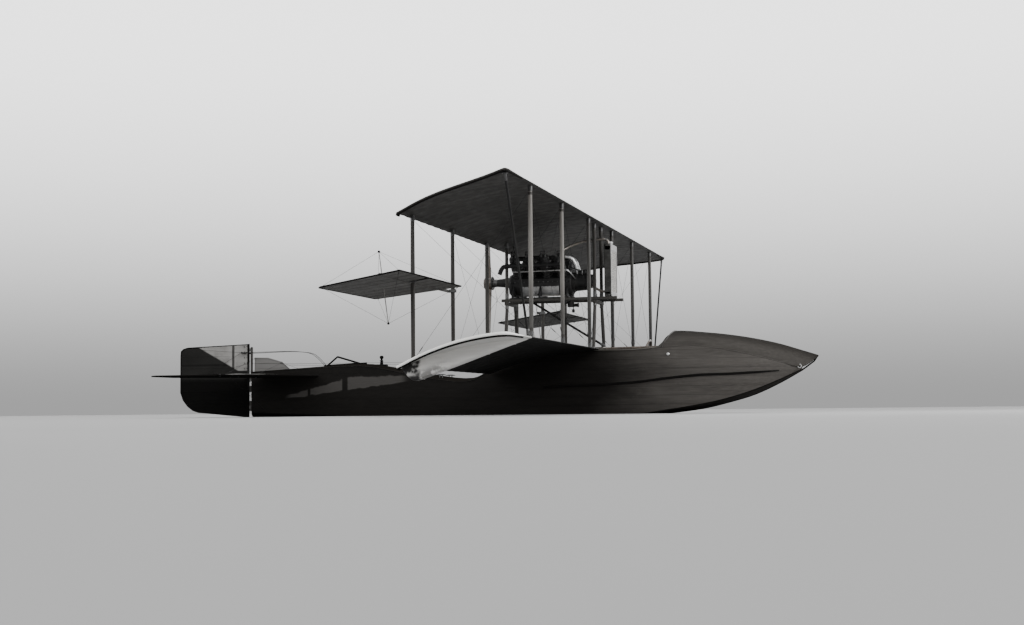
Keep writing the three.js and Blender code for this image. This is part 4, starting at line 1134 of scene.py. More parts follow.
def engine_mount():
    """Bearers, raked legs with their cross-bars, and a steel brace from the deck to the crankcase."""
    for name, side in SIDES.items():
        y = side * BEARER_Y
        beam = Shape().block((-1.33, y - 0.02, BEARER_Z - 0.04), (0.26, y + 0.02, BEARER_Z), edge=0.005)
        for x in (*MOUNT_X.values(), *CASE_ARM_X, 0.135):
            beam.bolt((x, y, BEARER_Z - 0.046), Z, 0.008, 0.05)
        beam.piece(f"bearer_wood_{name}", [BEARER_ASH, STEEL], replaces=[f"engine_bearer_{name}"])
    for (name, x), rows in zip(MOUNT_X.items(), (FORE_HULL, AFT_HULL)):
        legs = Shape()
        deck = smooth_row(rows, x)[3]
        for side in SIDES.values():
            foot, head = on_side(side, (x, 0.35, deck - 0.01), (x, 0.21, 1.497))
            along = head - foot
            radii = [0.020 + 0.005 * math.sin(math.pi * k / 8) for k in range(9)]
            legs.tube(split([foot, head], 8), radii, sides=14)
            legs.tube([foot, foot + along * 0.10], 0.0255, 1, 12)
            legs.tube([head - along * 0.08, head], 0.0255, 1, 12)
            plate = [v(x + d, side * 0.35 + d, deck + dz) for d, dz in ((-0.045, -0.012), (0.045, 0.018))]
            legs.block(*plate, 1)
        legs.block((x - 0.026, -0.255, 1.4757), (x + 0.026, 0.255, 1.5197), edge=0.005)
        legs.piece(f"mount_wood_{name}", [DARK_SPRUCE, STEEL], replaces=[f"mount_legs_{name}"])
    foot, head = v(0.045, 0, 0.902), v(-1.08, 0, 1.6)
    along = (head - foot).normalized()
    brace = Shape().tube([foot, head], 0.0155, 0, 14)
    for end, way in ((foot, along), (head, -along)):
        brace.tube([end, end + way * 0.05, end + way * 0.08], [0.020, 0.020, 0.0156], 1, 12)
    brace.block((-0.005, -0.035, 0.888), (0.057, 0.035, 0.904), 1)
    brace.block((-1.12, -0.03, 1.595), (-1.04, 0.03, 1.612), 1)
    brace.piece("mount_brace", [TUBE_BLACK, STEEL])


CYLINDER_X = [-1.13 + 0.205 * i for i in range(4)]
CYLINDERS = [(x + (0.03 if side > 0 else 0.0), side) for side in SIDES.values() for x in CYLINDER_X]


def bank(side):
    """Along a cylinder of one bank, and across it towards the outside and down."""
    tilt = math.pi / 4
    return v(0, side * math.sin(tilt), math.cos(tilt)), v(0, side * math.cos(tilt), -math.sin(tilt))


def crankcase():
    """The engine's case with its arms, bolts, light pan, shaft housing, pump case and magneto."""
    case = Shape()

    def along_shaft(outline, stations, kind=0):
        whole_ring = outline + [(-y, z) for y, z in outline[:0:-1]]
        case.loft([[v(x, y * s, THRUST_Z + z * s) for y, z in whole_ring] for x, s in stations], kind)

    outline = [(0.0, -0.196), (0.06, -0.192), (0.092, -0.186), (0.118, -0.13)]
    outline += [(0.14, -0.06), (0.14, 0.03), (0.105, 0.07), (0.06, 0.105)]
    stations = [(-1.26, 0.8), (-1.24, 0.94), (-1.21, 1.0), (-0.41, 1.0), (-0.385, 0.93), (-0.37, 0.8)]
    along_shaft(outline, stations)
    pan = [(0.0, -0.199), (0.07, -0.195), (0.095, -0.188), (0.121, -0.13), (0.139, -0.075)]
    along_shaft(pan, [(-1.08, 0.97), (-1.07, 1.0), (-0.56, 1.0), (-0.55, 0.97)], 2)
    for side in SIDES.values():
        low = (-1.22, side * 0.09, BEARER_Z + 0.0005)
        case.block(low, (-0.40, side * (BEARER_Y + 0.02), BEARER_Z + 0.014))
        for x in CASE_ARM_X:
            web = [(0.10, 1.735), (0.145, 1.725), (0.225, 1.60), (0.225, 1.57), (0.10, 1.57)]
            case.loft([[v(x + d, side * y, z) for y, z in web] for d in (-0.012, 0.012)])
            for y in (0.175, BEARER_Y + 0.008):
                case.bolt((x + 0.028, side * y, 1.572), Z, 0.010, 0.012)
        for k in range(12):
            case.bolt((-1.16 + k * 0.066, side * 0.138, THRUST_Z - 0.012), Y * side, 0.007, 0.010)
        for k in range(9):
            case.bolt((-1.03 + k * 0.055, side * 0.137, THRUST_Z - 0.082), Y * side, 0.0055, 0.009)
    case.block((-1.225, -0.147, THRUST_Z - 0.02), (-0.395, 0.147, THRUST_Z - 0.004))
    housing = [(0, 0.084), (0.06, 0.07), (0.15, 0.058), (0.2098, 0.052)]
    case.turned((-1.23, 0, THRUST_Z), -X, housing, 0, 28)
    case.bolt((-1.30, 0, THRUST_Z), -X, 0.074, 0.014, 1, 24)
    drum = [(0, 0.128), (0.02, 0.135), (0.035, 0.135), (0.04, 0.124), (0.2, 0.118)]
    case.turned((-0.39, 0, 1.78), (1, 0, 0.03), drum, 0, 32)
    cover = [(0, 0.116), (0.006, 0.121), (0.02, 0.121), (0.03, 0.10), (0.09, 0.09)]
    case.turned((-0.19, 0, 1.787), X, cover, 0, 32)
    for spot in around(v(-0.172, 0, 1.787), Y, Z, 0.108, 10, 0.5):
        case.bolt(spot, X, 0.007, 0.010)
    case.turned((-0.11, 0, 1.787), X, [(0, 0.044), (0.02, 0.044), (0.024, 0.03), (0.045, 0.028)], 2, 20)
    magneto = [(0, 0.02), (0.005, 0.036), (0.10, 0.036), (0.11, 0.028), (0.13, 0.02)]
    case.turned((-0.30, -0.06, 1.90), X, magneto, 0, 20)
    case.hoop((-0.235, -0.06, 1.90), X, 0.036, 0.004, 2, 24, 6)
    case.piece("engine_case", [IRON, STEEL, PAN_METAL], replaces=["engine"])


def cylinders():
    """Water jackets, and on each one its base bolts, two valves with springs and rockers, and a plug."""
    jackets, gear = Shape(), Shape()
    profile = [(0.10, 0.062), (0.128, 0.062), (0.13, 0.074), (0.142, 0.074), (0.145, 0.058), (0.195, 0.058)]
    profile += [(0.2, 0.066), (0.21, 0.069), (0.415, 0.069), (0.430, 0.064), (0.438, 0.05), (0.447, 0.02)]
    for x, side in CYLINDERS:
        out, across = bank(side)
        base = v(x, 0, THRUST_Z)
        jackets.turned(base, out, profile, 0, 28)
        for d in (0.23, 0.28, 0.33, 0.38):
            jackets.hoop(base + out * d, out, 0.069, 0.0022, 0, 24, 6)
        for spot in around(base, X, across, 0.066, 4, 0.5):
            gear.bolt(spot + out * 0.14, out, 0.008, 0.014, 0)
        stem = [(0, 0.016), (0.01, 0.017), (0.02, 0.011), (0.045, 0.009), (0.05, 0.013), (0.056, 0.013)]
        for dx in (-0.026, 0.026):
            top = base + v(dx, 0, 0) + out * 0.438
            gear.turned(top, out, stem, 0, 14)
            for k in range(4):
                gear.hoop(top + out * (0.014 + k * 0.008), out, 0.0135, 0.0018, 0, 14, 5)
            rocker = [
                top + out * 0.058 + across * 0.012,
                top + out * 0.064 - across * 0.03,
                top + out * 0.05 - across * 0.072,
            ]
            gear.tube(rocker, [0.006, 0.008, 0.006], 0, 8)
            rod_foot = base + v(dx * 0.6, 0, 0) + out * 0.13 - across * 0.08
            gear.tube([rocker[-1], rod_foot], 0.0035, 0, 6)
        gear.tube([base + out * 0.501 - across * 0.03 + v(dx, 0, 0) for dx in (-0.035, 0.035)], 0.007, 0, 8)
        plug = [(0, 0.012), (0.01, 0.012), (0.011, 0.007), (0.04, 0.006), (0.045, 0.003)]
        gear.turned(base + out * 0.40 - across * 0.066, -across, plug, 1, 10)
    jackets.piece("cylinder_jackets", JACKET)
    gear.piece("valve_gear", [STEEL, FLOAT_PAINT])


def pipework():
    """Inlet pipes, water manifolds, carburettor with its fuel pipe, and the ignition leads."""
    pipes = Shape()
    for side in SIDES.values():
        inlet = [(-1.17, INLET_Y, 2.12), (-0.82, INLET_Y, 2.126), (-0.47, INLET_Y, 2.12)]
        pipes.tube(on_side(side, *inlet), 0.022, 0, 14)
        riser = [(-0.30, 0.035, 1.86), (-0.33, 0.05, 2.0), (-0.39, 0.08, 2.10), inlet[-1]]
        pipes.tube(bend(on_side(side, *riser), 5), 0.028, 1, 14)
        drop = [(-0.46, WATER_RAIL_Y, 1.932), (-0.41, 0.22, 1.925), (-0.36, 0.17, 1.87), (-0.33, 0.11, 1.82)]
        start = v(-1.17, side * WATER_RAIL_Y, WATER_RAIL_Z)
        pipes.tube([start] + bend(on_side(side, *drop), 5), 0.0085, 1, 12)
        pipes.turned(start - X * 0.005, X, [(0, 0.006), (0.006, 0.012), (0.02, 0.012)], 1, 12)
    for x, side in CYLINDERS:
        pipes.tube(on_side(side, (x, INLET_Y, 2.122), (x, 0.165, 2.15), (x, 0.24, 2.138)), 0.015, 0, 10)
        pipes.tube(on_side(side, (x, WATER_RAIL_Y, 1.925), (x, 0.205, 1.935)), 0.011, 1, 10)
    body = [(0, 0.03), (0.02, 0.036), (0.07, 0.036), (0.075, 0.028), (0.12, 0.028)]
    body += [(0.125, 0.046), (0.2, 0.046)]
    pipes.turned((-0.42, 0, 1.645), -Z, body, 2, 24)
    bowl = [(0, 0.02), (0.005, 0.034), (0.075, 0.034), (0.085, 0.012)]
    pipes.turned((-0.498, -0.01, 1.565), -Z, bowl, 2, 20)
    pipes.tube([(-0.42, 0, 1.47), (-0.34, 0, 1.47), (-0.31, 0, 1.47)], [0.024, 0.024, 0.032], 2, 16)
    drain = [(0, 0.006), (0.03, 0.006), (0.04, 0.02), (0.07, 0.02), (0.08, 0.008)]
    pipes.turned((-0.385, 0, 1.45), -Z, drain, 2, 14)
    fuel = [(-0.985, -0.024, 1.548), (-0.84, -0.024, 1.458), (-0.72, -0.03, 1.38), (-0.655, -0.03, 1.348)]
    fuel += [(-0.60, -0.028, 1.362), (-0.545, -0.022, 1.42), (-0.498, -0.01, 1.485)]
    pipes.tube(bend(fuel, 5), 0.009, 2, 12)
    pipes.piece("inlet_and_water_pipes", [STEEL, TIN, IRON])
    leads = Shape()
    for x, side in CYLINDERS:
        out, across = bank(side)
        plug = v(x, 0, THRUST_Z) + out * 0.40 - across * 0.105
        start = v(-0.29, -0.06 + side * 0.012, 1.925)
        lead = [start, start + v(-0.05, 0, 0.03), v(x + 0.05, side * 0.03, 2.02), plug]
        leads.tube(bend(lead, 4), 0.0035, 0, 6)
    leads.piece("ignition_leads", RUBBER)


def radiator():
    """The radiator's shell with its tanks, rims, filler cap and side bolts, and its core of fins."""
    aft, fore, half, low, high = 0.088, 0.182, 0.20, BEARER_Z + 0.0003, 2.27
    core_low, core_high = low + 0.07, high - 0.095
    shell = Shape()
    shell.block((aft, -half, low), (fore, half, core_low), edge=0.010)
    shell.block((aft, -half, core_high), (fore, half, high), edge=0.012)
    shell.block((aft + 0.02, -BEARER_Y - 0.02, low), (fore - 0.02, BEARER_Y + 0.02, low + 0.024))
    for side in SIDES.values():
        outer, rim = side * half, side * (half - 0.004)
        shell.block((aft, outer, low + 0.03), (fore, side * (half - 0.022), high - 0.03), edge=0.006)
        shell.block((fore - 0.002, rim, low + 0.01), (fore + 0.002, side * (half - 0.02), high - 0.012), 1)
        for z in (1.75, 1.93, 2.1):
            shell.turned((aft + 0.047, outer, z), Y * side, [(0, 0.011), (0.006, 0.009)], 0, 12)
    for z0, z1 in ((low + 0.008, core_low), (core_high, high - 0.010)):
        shell.block((fore - 0.002, 0.02 - half, z0), (fore + 0.0025, half - 0.02, z1), 1)
    neck = [(0, 0.03), (0.022, 0.03), (0.024, 0.037), (0.044, 0.036), (0.051, 0.026)]
    shell.turned((0.135, 0, high - 0.01), Z, neck, 1, 28)
    shell.tube([(0.135, 0.05, high), (0.135, 0.05, high + 0.03), (0.135, 0.0, high + 0.046)], 0.004, 0, 6)
    shell.piece("radiator_case", [RADIATOR_SHELL, PAN_METAL], replaces=["radiator"])
    core, inner = Shape(), half - 0.022
    filling = (fore - 0.004, inner + 0.001, core_high + 0.01)
    core.block((aft + 0.008, -inner - 0.001, core_low - 0.01), filling, edge=0.002)
    fins = 44
    for k in range(1, fins):
        z = core_low + (core_high - core_low) * k / fins
        core.block((aft + 0.004, -inner, z - 0.001), (fore - 0.001, inner, z + 0.001), 1, edge=0.0004)
    core.piece("radiator_fins", [RADIATOR_CORE, PAN_METAL])


def hoses_and_exhausts():
    """The two water pipes with their clips, and an exhaust pipe beside each bank."""
    top = [(0.135, -0.12, 2.262), (0.118, -0.12, 2.318), (0.02, -0.122, 2.336), (-0.20, -0.14, 2.312)]
    top += [(-0.40, -0.205, 2.235), (-0.50, -0.30, 2.15)]
    path = bend(top, 8)
    pipe = Shape().tube(path, 0.0165, 0, 16)
    for k in (10, 20, 36):
        way = (path[k + 1] - path[k]).normalized()
        pipe.bolt(path[k] - way * 0.012, way, 0.020, 0.024, 1, 14)
    pipe.piece("upper_pipe", [COPPER, STEEL], replaces=["water_pipe_upper"])
    low = [(0.089, -0.06, 1.64), (0.03, -0.06, 1.64), (-0.05, -0.05, 1.68), (-0.115, -0.04, 1.73)]
    Shape().tube(bend(low, 6), 0.017, 0, 16).piece("lower_pipe", COPPER, replaces=["water_pipe_lower"])
    for name, side in SIDES.items():
        log = [(-0.46, EXHAUST_Y, 1.99), (-0.83, EXHAUST_Y, 1.99), (-1.19, EXHAUST_Y, 1.985)]
        log += [(-1.26, 0.4335, 1.955), (-1.295, 0.43775, 1.875)]
        pipe = Shape().tube(bend(on_side(side, *log), 8), 0.03, 0, 18)
        for x in [x for x, bank_side in CYLINDERS if bank_side == side]:
            stub = on_side(side, (x, 0.322, 2.055), (x, 0.37, 2.03), (x, EXHAUST_Y, 1.992))
            pipe.tube(stub, 0.019, 0, 12)
            pipe.hoop((x, side * 0.334, 2.046), (0, side, -0.8), 0.021, 0.006, 0, 18, 6)
        pipe.piece(f"exhaust_pipe_{name}", IRON, replaces=[f"exhaust_{name}"])


# Rows of a blade: share of the radius, width, thickness and pitch angle in degrees.
BLADE = [
    (0.0, 0.096, 0.086, 62),
    (0.1, 0.098, 0.074, 58),
    (0.25, 0.132, 0.042, 44),
    (0.5, 0.178, 0.028, 30),
    (0.75, 0.184, 0.018, 22),
    (0.92, 0.142, 0.012, 18),
    (0.985, 0.084, 0.008, 16),
    (1.0, 0.030, 0.006, 16),
]


def propeller():
    """Two blades of laminated wood, and a hub between steel plates with its bolts."""
    shape = Shape()
    section = [(0.5, 0), (0.44, 0.2), (0.3, 0.4), (0.1, 0.5), (-0.12, 0.46), (-0.33, 0.24), (-0.5, 0)]
    section += [(-0.33, -0.16), (-0.1, -0.3), (0.15, -0.38), (0.38, -0.25)]
    for turn in (1, -1):
        rings = []
        for share in finer(BLADE, 4):
            _, width, thick, pitch = smooth_row(BLADE, share)
            a = math.radians(pitch)
            z = THRUST_Z + turn * share * PROPELLER_RADIUS
            ring = []
            for along, through in section:
                w, t = along * width * turn, through * thick
                x = PROPELLER_X + t * math.cos(a) - w * math.sin(a) * 0.9
                ring.append(v(x, w * math.cos(a) + t * math.sin(a), z))
            rings.append(ring)
        shape.loft(rings)
    at = v(PROPELLER_X, 0, THRUST_Z)
    hub = [(0, 0.078), (0.006, 0.086), (0.09, 0.086), (0.096, 0.078)]
    shape.turned(at - X * 0.046, X, hub, 0, 32)
    shape.turned(at + X * 0.048, X, [(0, 0.09), (0.002, 0.092), (0.01, 0.092), (0.012, 0.09)], 1, 32)
    shape.turned(at - X * 0.056, X, [(0, 0.074), (0.002, 0.076), (0.009, 0.076)], 1, 32)
    shape.turned(at - X * 0.062, X, [(0, 0.03), (0.02, 0.05), (0.15, 0.055), (0.1914, 0.052)], 1, 24)
    for spot in around(at - X * 0.056, Y, Z, 0.061, 8):
        shape.turned(spot, -X, [(-0.1, 0.0075), (0.004, 0.0075), (0.005, 0.005)], 1, 6)
    shape.piece("propeller_blades", [WALNUT, STEEL], body="propeller", replaces=["propeller"])


# Rows of a tip float: x, height of its bottom, half width.
FLOATS = [
    (-1.425, 0.518, 0.055),
    (-1.262, 0.392, 0.088),
    (-0.700, 0.590, 0.100),
    (-0.180, 0.773, 0.097),
    (-0.030, 0.822, 0.082),
    (0.018, 0.842, 0.060),
]


def float_row(x):
    """The bottom's height and the half width of a tip float at x. The stern rounds off to its end."""
    end, heel = FLOATS[:2]
    if x >= heel[0]:
        return smooth_row(FLOATS[1:], x)[1:]
    ease = math.sin((x - end[0]) / (heel[0] - end[0]) * math.pi / 2)
    return [a + (b - a) * ease for a, b in zip(end[1:], heel[1:])]


def bilge_height(bottom, top):
    """How far the rounded corner of a tip float's bottom reaches up its side."""
    return min(0.03, (top - bottom) * 0.35)


def tip_floats():
    """The tip floats, and the painted straps round them."""
    for name, side in SIDES.items():
        rings, straps = [], Shape()
        middle = side * FLOAT_Y
        corner = [(0, 0), (0.6, 0), (0.8, 0.08), (0.93, 0.35), (1.0, 1.0)]
        for x in [FLOATS[0][0], -1.40, -1.36, -1.31] + finer(FLOATS[1:], 5):
            bottom, half = float_row(x)
            top = LOWER_Z + mean_rise(x) - 0.012
            bilge = bilge_height(bottom, top)
            section = [(half * a, bottom + bilge * b) for a, b in corner]
            section += [(half * 1.01, (bottom + bilge + top) / 2), (half, top)]
            section += [(-y, z) for y, z in section[:0:-1]]
            rings.append([v(x, middle + y, z) for y, z in section])
        Shape().loft(rings).piece(f"float_{name}", FLOAT_PAINT, replaces=[f"tip_float_{name}"], sharp=40)
        for x in (-1.2, -0.95, -0.45, -0.15):
            bottom, half = float_row(x)
            top = LOWER_Z + mean_rise(x) - 0.02
            bilge = bottom + bilge_height(bottom, top)
            half += 0.002
            path = [(half, top), (half + 0.001, (top + bilge) / 2), (half, bilge)]
            path += [(half * 0.8, bottom - 0.001), (0, bottom - 0.001)]
            for way in (-1, 1):
                straps.tube([(x, middle + way * y, z) for y, z in path], 0.003, 0, 6)
        straps.piece(f"float_straps_{name}", FLOAT_PAINT)


def panel(shape, outline, thick, ribs, place, edge, trim=1, under=0):
    """A linen panel: its outline is in (along, across), and place puts such a point in space.

    The skin sags between ribs, which are given by their places across the panel. A tube with the radius
    edge runs round it. The kind of that tube is trim, and the under skin's is under.
    """
    lows, highs = min(p[1] for p in outline), max(p[1] for p in outline)

    def reach(c):
        hits = []
        for (a0, c0), (a1, c1) in zip(outline, outline[1:] + outline[:1]):
            if min(c0, c1) <= c <= max(c0, c1) and abs(c1 - c0) > 1e-9:
                hits.append(a0 + (a1 - a0) * (c - c0) / (c1 - c0))
        return min(hits), max(hits)

    def fullness(s, c):
        ends = min(1.0, (min(c - lows, highs - c) + 1e-4) / 0.10) ** 0.5
        return ends * thick * math.sin(math.pi * min(max(s, 0.0), 1.0)) ** 0.5

    marks = sorted({round(c, 5) for c in list(ribs) + [p[1] for p in outline]})
    cuts = [a + (b - a) * k / 4 for a, b in zip(marks, marks[1:]) for k in range(4)] + [marks[-1]]
    cuts[0], cuts[-1] = lows + 1e-4, highs - 1e-4
    columns = 14
    tape = ((-0.008, -0.002), (-0.005, 0.0015), (0.005, 0.0015), (0.008, -0.002))
    for up in (1, -1):
        start = len(shape.points)
        for c in cuts:
            a0, a1 = reach(c)
            gap = min(1.0, min(abs(c - r) for r in marks) / 0.09)
            for k in range(columns + 1):
                s = k / columns
                height = fullness(s, c) + 0.002 - 0.0035 * gap * math.sin(math.pi * s)
                shape.points.append(tuple(place(a0 + (a1 - a0) * s, c, up * height)))
        for i in range(len(cuts) - 1):
            for k in range(columns):
                a = start + i * (columns + 1) + k
                shape.faces.append([a, a + 1, a + columns + 2, a + columns + 1])
                shape.kinds.append(0 if up > 0 else under)
    rim = [Vector(place(a, c, 0)) for a, c in outline]
    shape.tube(rim + rim[:1], edge, trim, 8)
    for c in ribs:
        a0, a1 = reach(c)
        for up in (1, -1):
            strip = []
            for k in range(9):
                s = 0.02 + 0.96 * k / 8
                a, swell = a0 + (a1 - a0) * s, fullness(s, c) + 0.0025
                strip.append([place(a, c + w, up * (swell + h)) for w, h in tape])
            shape.loft(strip, 0 if up > 0 else under)


def level(along, across, up):
    """A point of a panel that lies level at the tailplane's height."""
    return v(along, across, TAILPLANE_Z + up)


def upright(along, across, out):
    """A point of a panel that stands in the middle plane."""
    return v(along, out, across)


def fin_and_rudder():
    """The fin, the stern post with the rudder's hinges, and the rudder with its horns and lacing."""
    fin = Shape()
    outline = [(-5.062, 0.62), (-5.062, 0.842), (-4.86, 0.834), (-4.645, 0.772), (-4.50, 0.655)]
    panel(fin, outline, 0.008, [0.70, 0.77], upright, 0.010, trim=0)
    fin.piece("fin_frame", FIN_LINEN, replaces=["fin"])
    post = Shape().block((-5.128, -0.017, 0.03), (-5.1003, 0.017, 1.0), edge=0.005)
    for z in (0.14, 0.52, 0.96):
        post.block((-5.1474, -0.014, z - 0.022), (-5.12, 0.014, z + 0.022), 1)
        for dz in (-0.012, 0.012):
            post.bolt((-5.114, -0.022, z + dz), Y, 0.005, 0.044)
    for low, high in ((0.085, 0.23), (0.355, 0.445), (0.515, 0.60)):
        post.block((-5.1462, -0.011, low), (-5.125, 0.011, high), 0, edge=0.002)
    for low, high in ((0.445, 0.515), (0.23, 0.355), (0.015, 0.085)):
        for side in SIDES.values():
            post.block((-5.124, side * 0.016, low), (-5.106, side * 0.0195, high), 2, edge=0.001)
    post.piece("stern_post", [DARK_SPRUCE, STEEL, TIP_WHITE], replaces=["rudder_post"])

    rudder = Shape()
    outline = [(-5.175, 0.005), (-5.175, 1.037), (-6.12, 1.003), (-6.19, 0.985), (-6.225, 0.955)]
    outline += [(-6.231, 0.90), (-6.231, 0.36), (-6.19, 0.25), (-6.12, 0.165)]
    outline += [(-6.04, 0.105), (-5.95, 0.075)]
    panel(rudder, outline, 0.010, [0.2, 0.37, 0.54, 0.71, 0.88], upright, 0.0095)
    rudder.tube([(RUDDER_HINGE_X, 0, 0), (RUDDER_HINGE_X, 0, 1.045)], 0.0165, 1, 16)
    low, high = 0.908, 0.922
    for side in SIDES.values():
        ends = [(0.012, -5.262, -5.188), (0.08, -5.250, -5.195), (0.15, -5.215, -5.195)]
        corners = [((aft, y, low), (aft, y, high), (fore, y, high), (fore, y, low)) for y, aft, fore in ends]
        rudder.loft([on_side(side, *ring) for ring in corners], 2)
        rudder.bolt((-5.205, side * 0.145, 0.902), Z, 0.006, 0.026, 2, 8)
        for x, z in ((-5.9, 0.97), (-5.85, 0.60)):
            rudder.tube(on_side(side, (-5.205, 0.147, 0.915), (x, 0.012, z)), 0.0018, 2, 6)
    for k in range(13):
        z = 0.07 + 0.078 * k
        rudder.hoop((-5.172, 0, z), (0.15, 0, 1), 0.0185, 0.0035, 1, 14, 5)
        rudder.hoop((-5.225, 0, z), (0.9, 0, 0.4), 0.012, 0.003, 1, 12, 5)
    finishes = [RUDDER_LINEN, TAIL_EDGE, WIRE_STEEL]
    rudder.piece("rudder_frame", finishes, body="rudder", replaces=["rudder"], sharp=50)


def tailplanes():
    """Both halves of the tailplane with their hinges, and the elevators with their horns and wires."""
    root_y = 0.04 + 1.0 * math.tan(math.radians(34)) * 1.05
    fixed = [(-4.03, 0.165), (-4.31, 1.075), (-4.505, 1.322), (-4.932, 1.432), (-4.932, 0.06)]
    moving = [(-4.969, 0.118), (-4.969, 1.495), (-5.82, 1.488), (-5.952, 1.365), (-5.952, root_y)]
    moving.append((-5.07, 0.122))
    horn = [(-5.0, 0.0), (-4.968, 0.19), (-4.956, 0.19), (-4.952, 0.0), (-4.956, -0.19), (-4.968, -0.19)]
    for name, side in SIDES.items():
        plane = Shape()
        outline = [(a, side * c) for a, c in fixed]
        panel(plane, outline, 0.015, [side * c for c in (0.35, 0.6, 0.85, 1.1)], level, 0.010, under=3)
        for y in (side * 0.26, side * 0.82, side * 1.38):
            low = (-4.9434, y - 0.02, TAILPLANE_Z - 0.013)
            plane.block(low, (-4.925, y + 0.02, TAILPLANE_Z + 0.013), 2)
        finishes = [TAIL_LINEN, TAIL_EDGE, STEEL, TAIL_UNDER_SHADE]
        plane.piece(f"tailplane_frame_{name}", finishes, replaces=[f"tailplane_{name}"], sharp=50)
        flap = Shape()
        outline = [(a, side * c) for a, c in moving]
        panel(flap, outline, 0.008, [side * c for c in (0.45, 0.72, 0.98, 1.24)], level, 0.009, under=3)
        hinge = on_side(side, (ELEVATOR_HINGE_X, 0.11, TAILPLANE_Z), (ELEVATOR_HINGE_X, 1.5, TAILPLANE_Z))
        flap.tube(hinge, 0.0155, 1, 14)
        y = side * 0.42
        flap.loft([[v(x, y + d, TAILPLANE_Z + z) for x, z in horn] for d in (-0.006, 0.006)], 2)
        for up in (-1, 1):
            flap.tube([level(-4.962, y, up * 0.185), level(-5.7, y, up * 0.012)], 0.0018, 2, 6)
        finishes = [TAIL_LINEN, TAIL_EDGE, WIRE_STEEL, TAIL_UNDER_SHADE]
        body = f"elevator_{name}"
        flap.piece(f"elevator_frame_{name}", finishes, body=body, replaces=[body], sharp=50)


def ailerons():
    """Panels hinged behind the rear struts, with a slot for the outer one, king posts and their wires."""
    slot = STRUT_Y[5]
    inner, outer = AILERON_Y
    fore, aft, rake = -AILERON_AHEAD, AILERON_BEHIND, AILERON_RAKE
    edge = [(fore, inner), (fore, slot - 0.0365), (0.0, slot - 0.036), (0.0, slot + 0.036)]
    edge += [(fore, slot + 0.0365), (fore, outer), (aft - 0.03, outer - rake), (aft, outer - rake - 0.04)]
    edge += [(aft, inner + rake + 0.04), (aft - 0.03, inner + rake)]
    corners = [(fore + 0.02, inner + 0.03), (fore + 0.02, outer - 0.03)]
    corners += [(aft - 0.04, outer - rake - 0.03), (aft - 0.04, inner + rake + 0.03)]
    back, post_y, high = KING_POST

    def place(along, across, up):
        x = AILERON_X - along * math.cos(AILERON_TILT) - up * math.sin(AILERON_TILT)
        return v(x, across, AILERON_Z - along * math.sin(AILERON_TILT) + up * math.cos(AILERON_TILT))

    for name, side in SIDES.items():
        shape = Shape()
        ribs = [side * c for c in (2.72, 2.98, 3.23, 3.48, 4.0, 4.25, 4.5)]
        panel(shape, [(a, side * c) for a, c in edge], 0.009, ribs, place, 0.009, under=3)
        for c in (slot - 0.029, slot + 0.029):
            board = [(-0.007, -0.01), (0.007, -0.01), (0.007, 0.01), (-0.007, 0.01)]
            shape.loft([[place(a, side * c + d, h) for d, h in board] for a in (fore, -0.115)], 1)
        ends = [(AILERON_X, side * c, AILERON_Z) for c in (STRUT_Y[4] - 0.045, outer - 0.06)]
        shape.tube(ends, 0.0185, 3, 16)
        for up in (-1, 1):
            foot, apex = place(back, side * post_y, 0), place(back, side * post_y, up * high)
            radii = [0.005, 0.0056, 0.006, 0.006, 0.0055, 0.005, 0.0045]
            shape.tube(split([foot, apex], 6), radii, 0, 10)
            cap = [(0, 0.007), (0.006, 0.014), (0.018, 0.015), (0.026, 0.008)]
            shape.turned(apex - (apex - foot).normalized() * 0.024, apex - foot, cap, 1, 12)
            for along, across in corners:
                end = place(along, side * across, up * 0.008)
                shape.tube([foot.lerp(apex, 0.975), end], 0.0014, 2, 6)
                shape.tube([end, end.lerp(apex, 0.04)], 0.003, 2, 6)
        finishes = [AILERON_LINEN, STRAKE_WOOD, WIRE_STEEL, AILERON_UNDER_SHADE if side < 0 else AILERON_SHADE]
        body = f"aileron_{name}"
        shape.piece(f"aileron_frame_{name}", finishes, body=body, replaces=[body], sharp=50)


def control_cables():
    """The tail's brace wires, and the control cables. The end of the rudder's cable is a separate piece on
    no body.
    """
    runs = Shape()
    braces = [
        ((-4.93, 1.2, TAILPLANE_Z + 0.02), (-5.06, 0.012, 0.835)),
        ((-4.5, 1.1, TAILPLANE_Z + 0.02), (-4.645, 0.012, 0.765)),
        ((-4.9, 0.05, 0.12), (-4.9, 1.15, TAILPLANE_Z - 0.02)),
    ]
    for side in SIDES.values():
        slack = [CABLE_BEND, (-4.35, 0.055, 0.915), (-4.15, 0.045, 0.87), (-3.97, 0.035, 0.705)]
        runs.tube(bend(on_side(side, *slack), 6), 0.0035, 0, 6)
        elevator_run = on_side(side, (-1.2, 0.33, 0.72), (-4.3, 0.42, 0.735), (-4.93, 0.42, 0.752))
        runs.tube(elevator_run, 0.0018, 0, 6)
        runs.tube(on_side(side, (-1.2, 0.315, 0.655), (-1.2, 0.315, 0.78)), 0.006, 1, 8)
        runs.hoop((-3.97, side * 0.035, 0.712), Y, 0.014, 0.004, 1, 14, 6)
        for ends in braces:
            wire_with_ends(runs, *on_side(side, *ends))
    runs.piece("control_cables", [WIRE_STEEL, STEEL])
    for name, side in SIDES.items():
        ends = on_side(side, CABLE_BEND, (-5.205, 0.145, 0.915))
        tail = Shape().tube(split(ends, 24), 0.0035, 0, 6)
        piece = tail.piece(f"rudder_cable_{name}", WIRE_STEEL, body=None)
        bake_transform(piece)


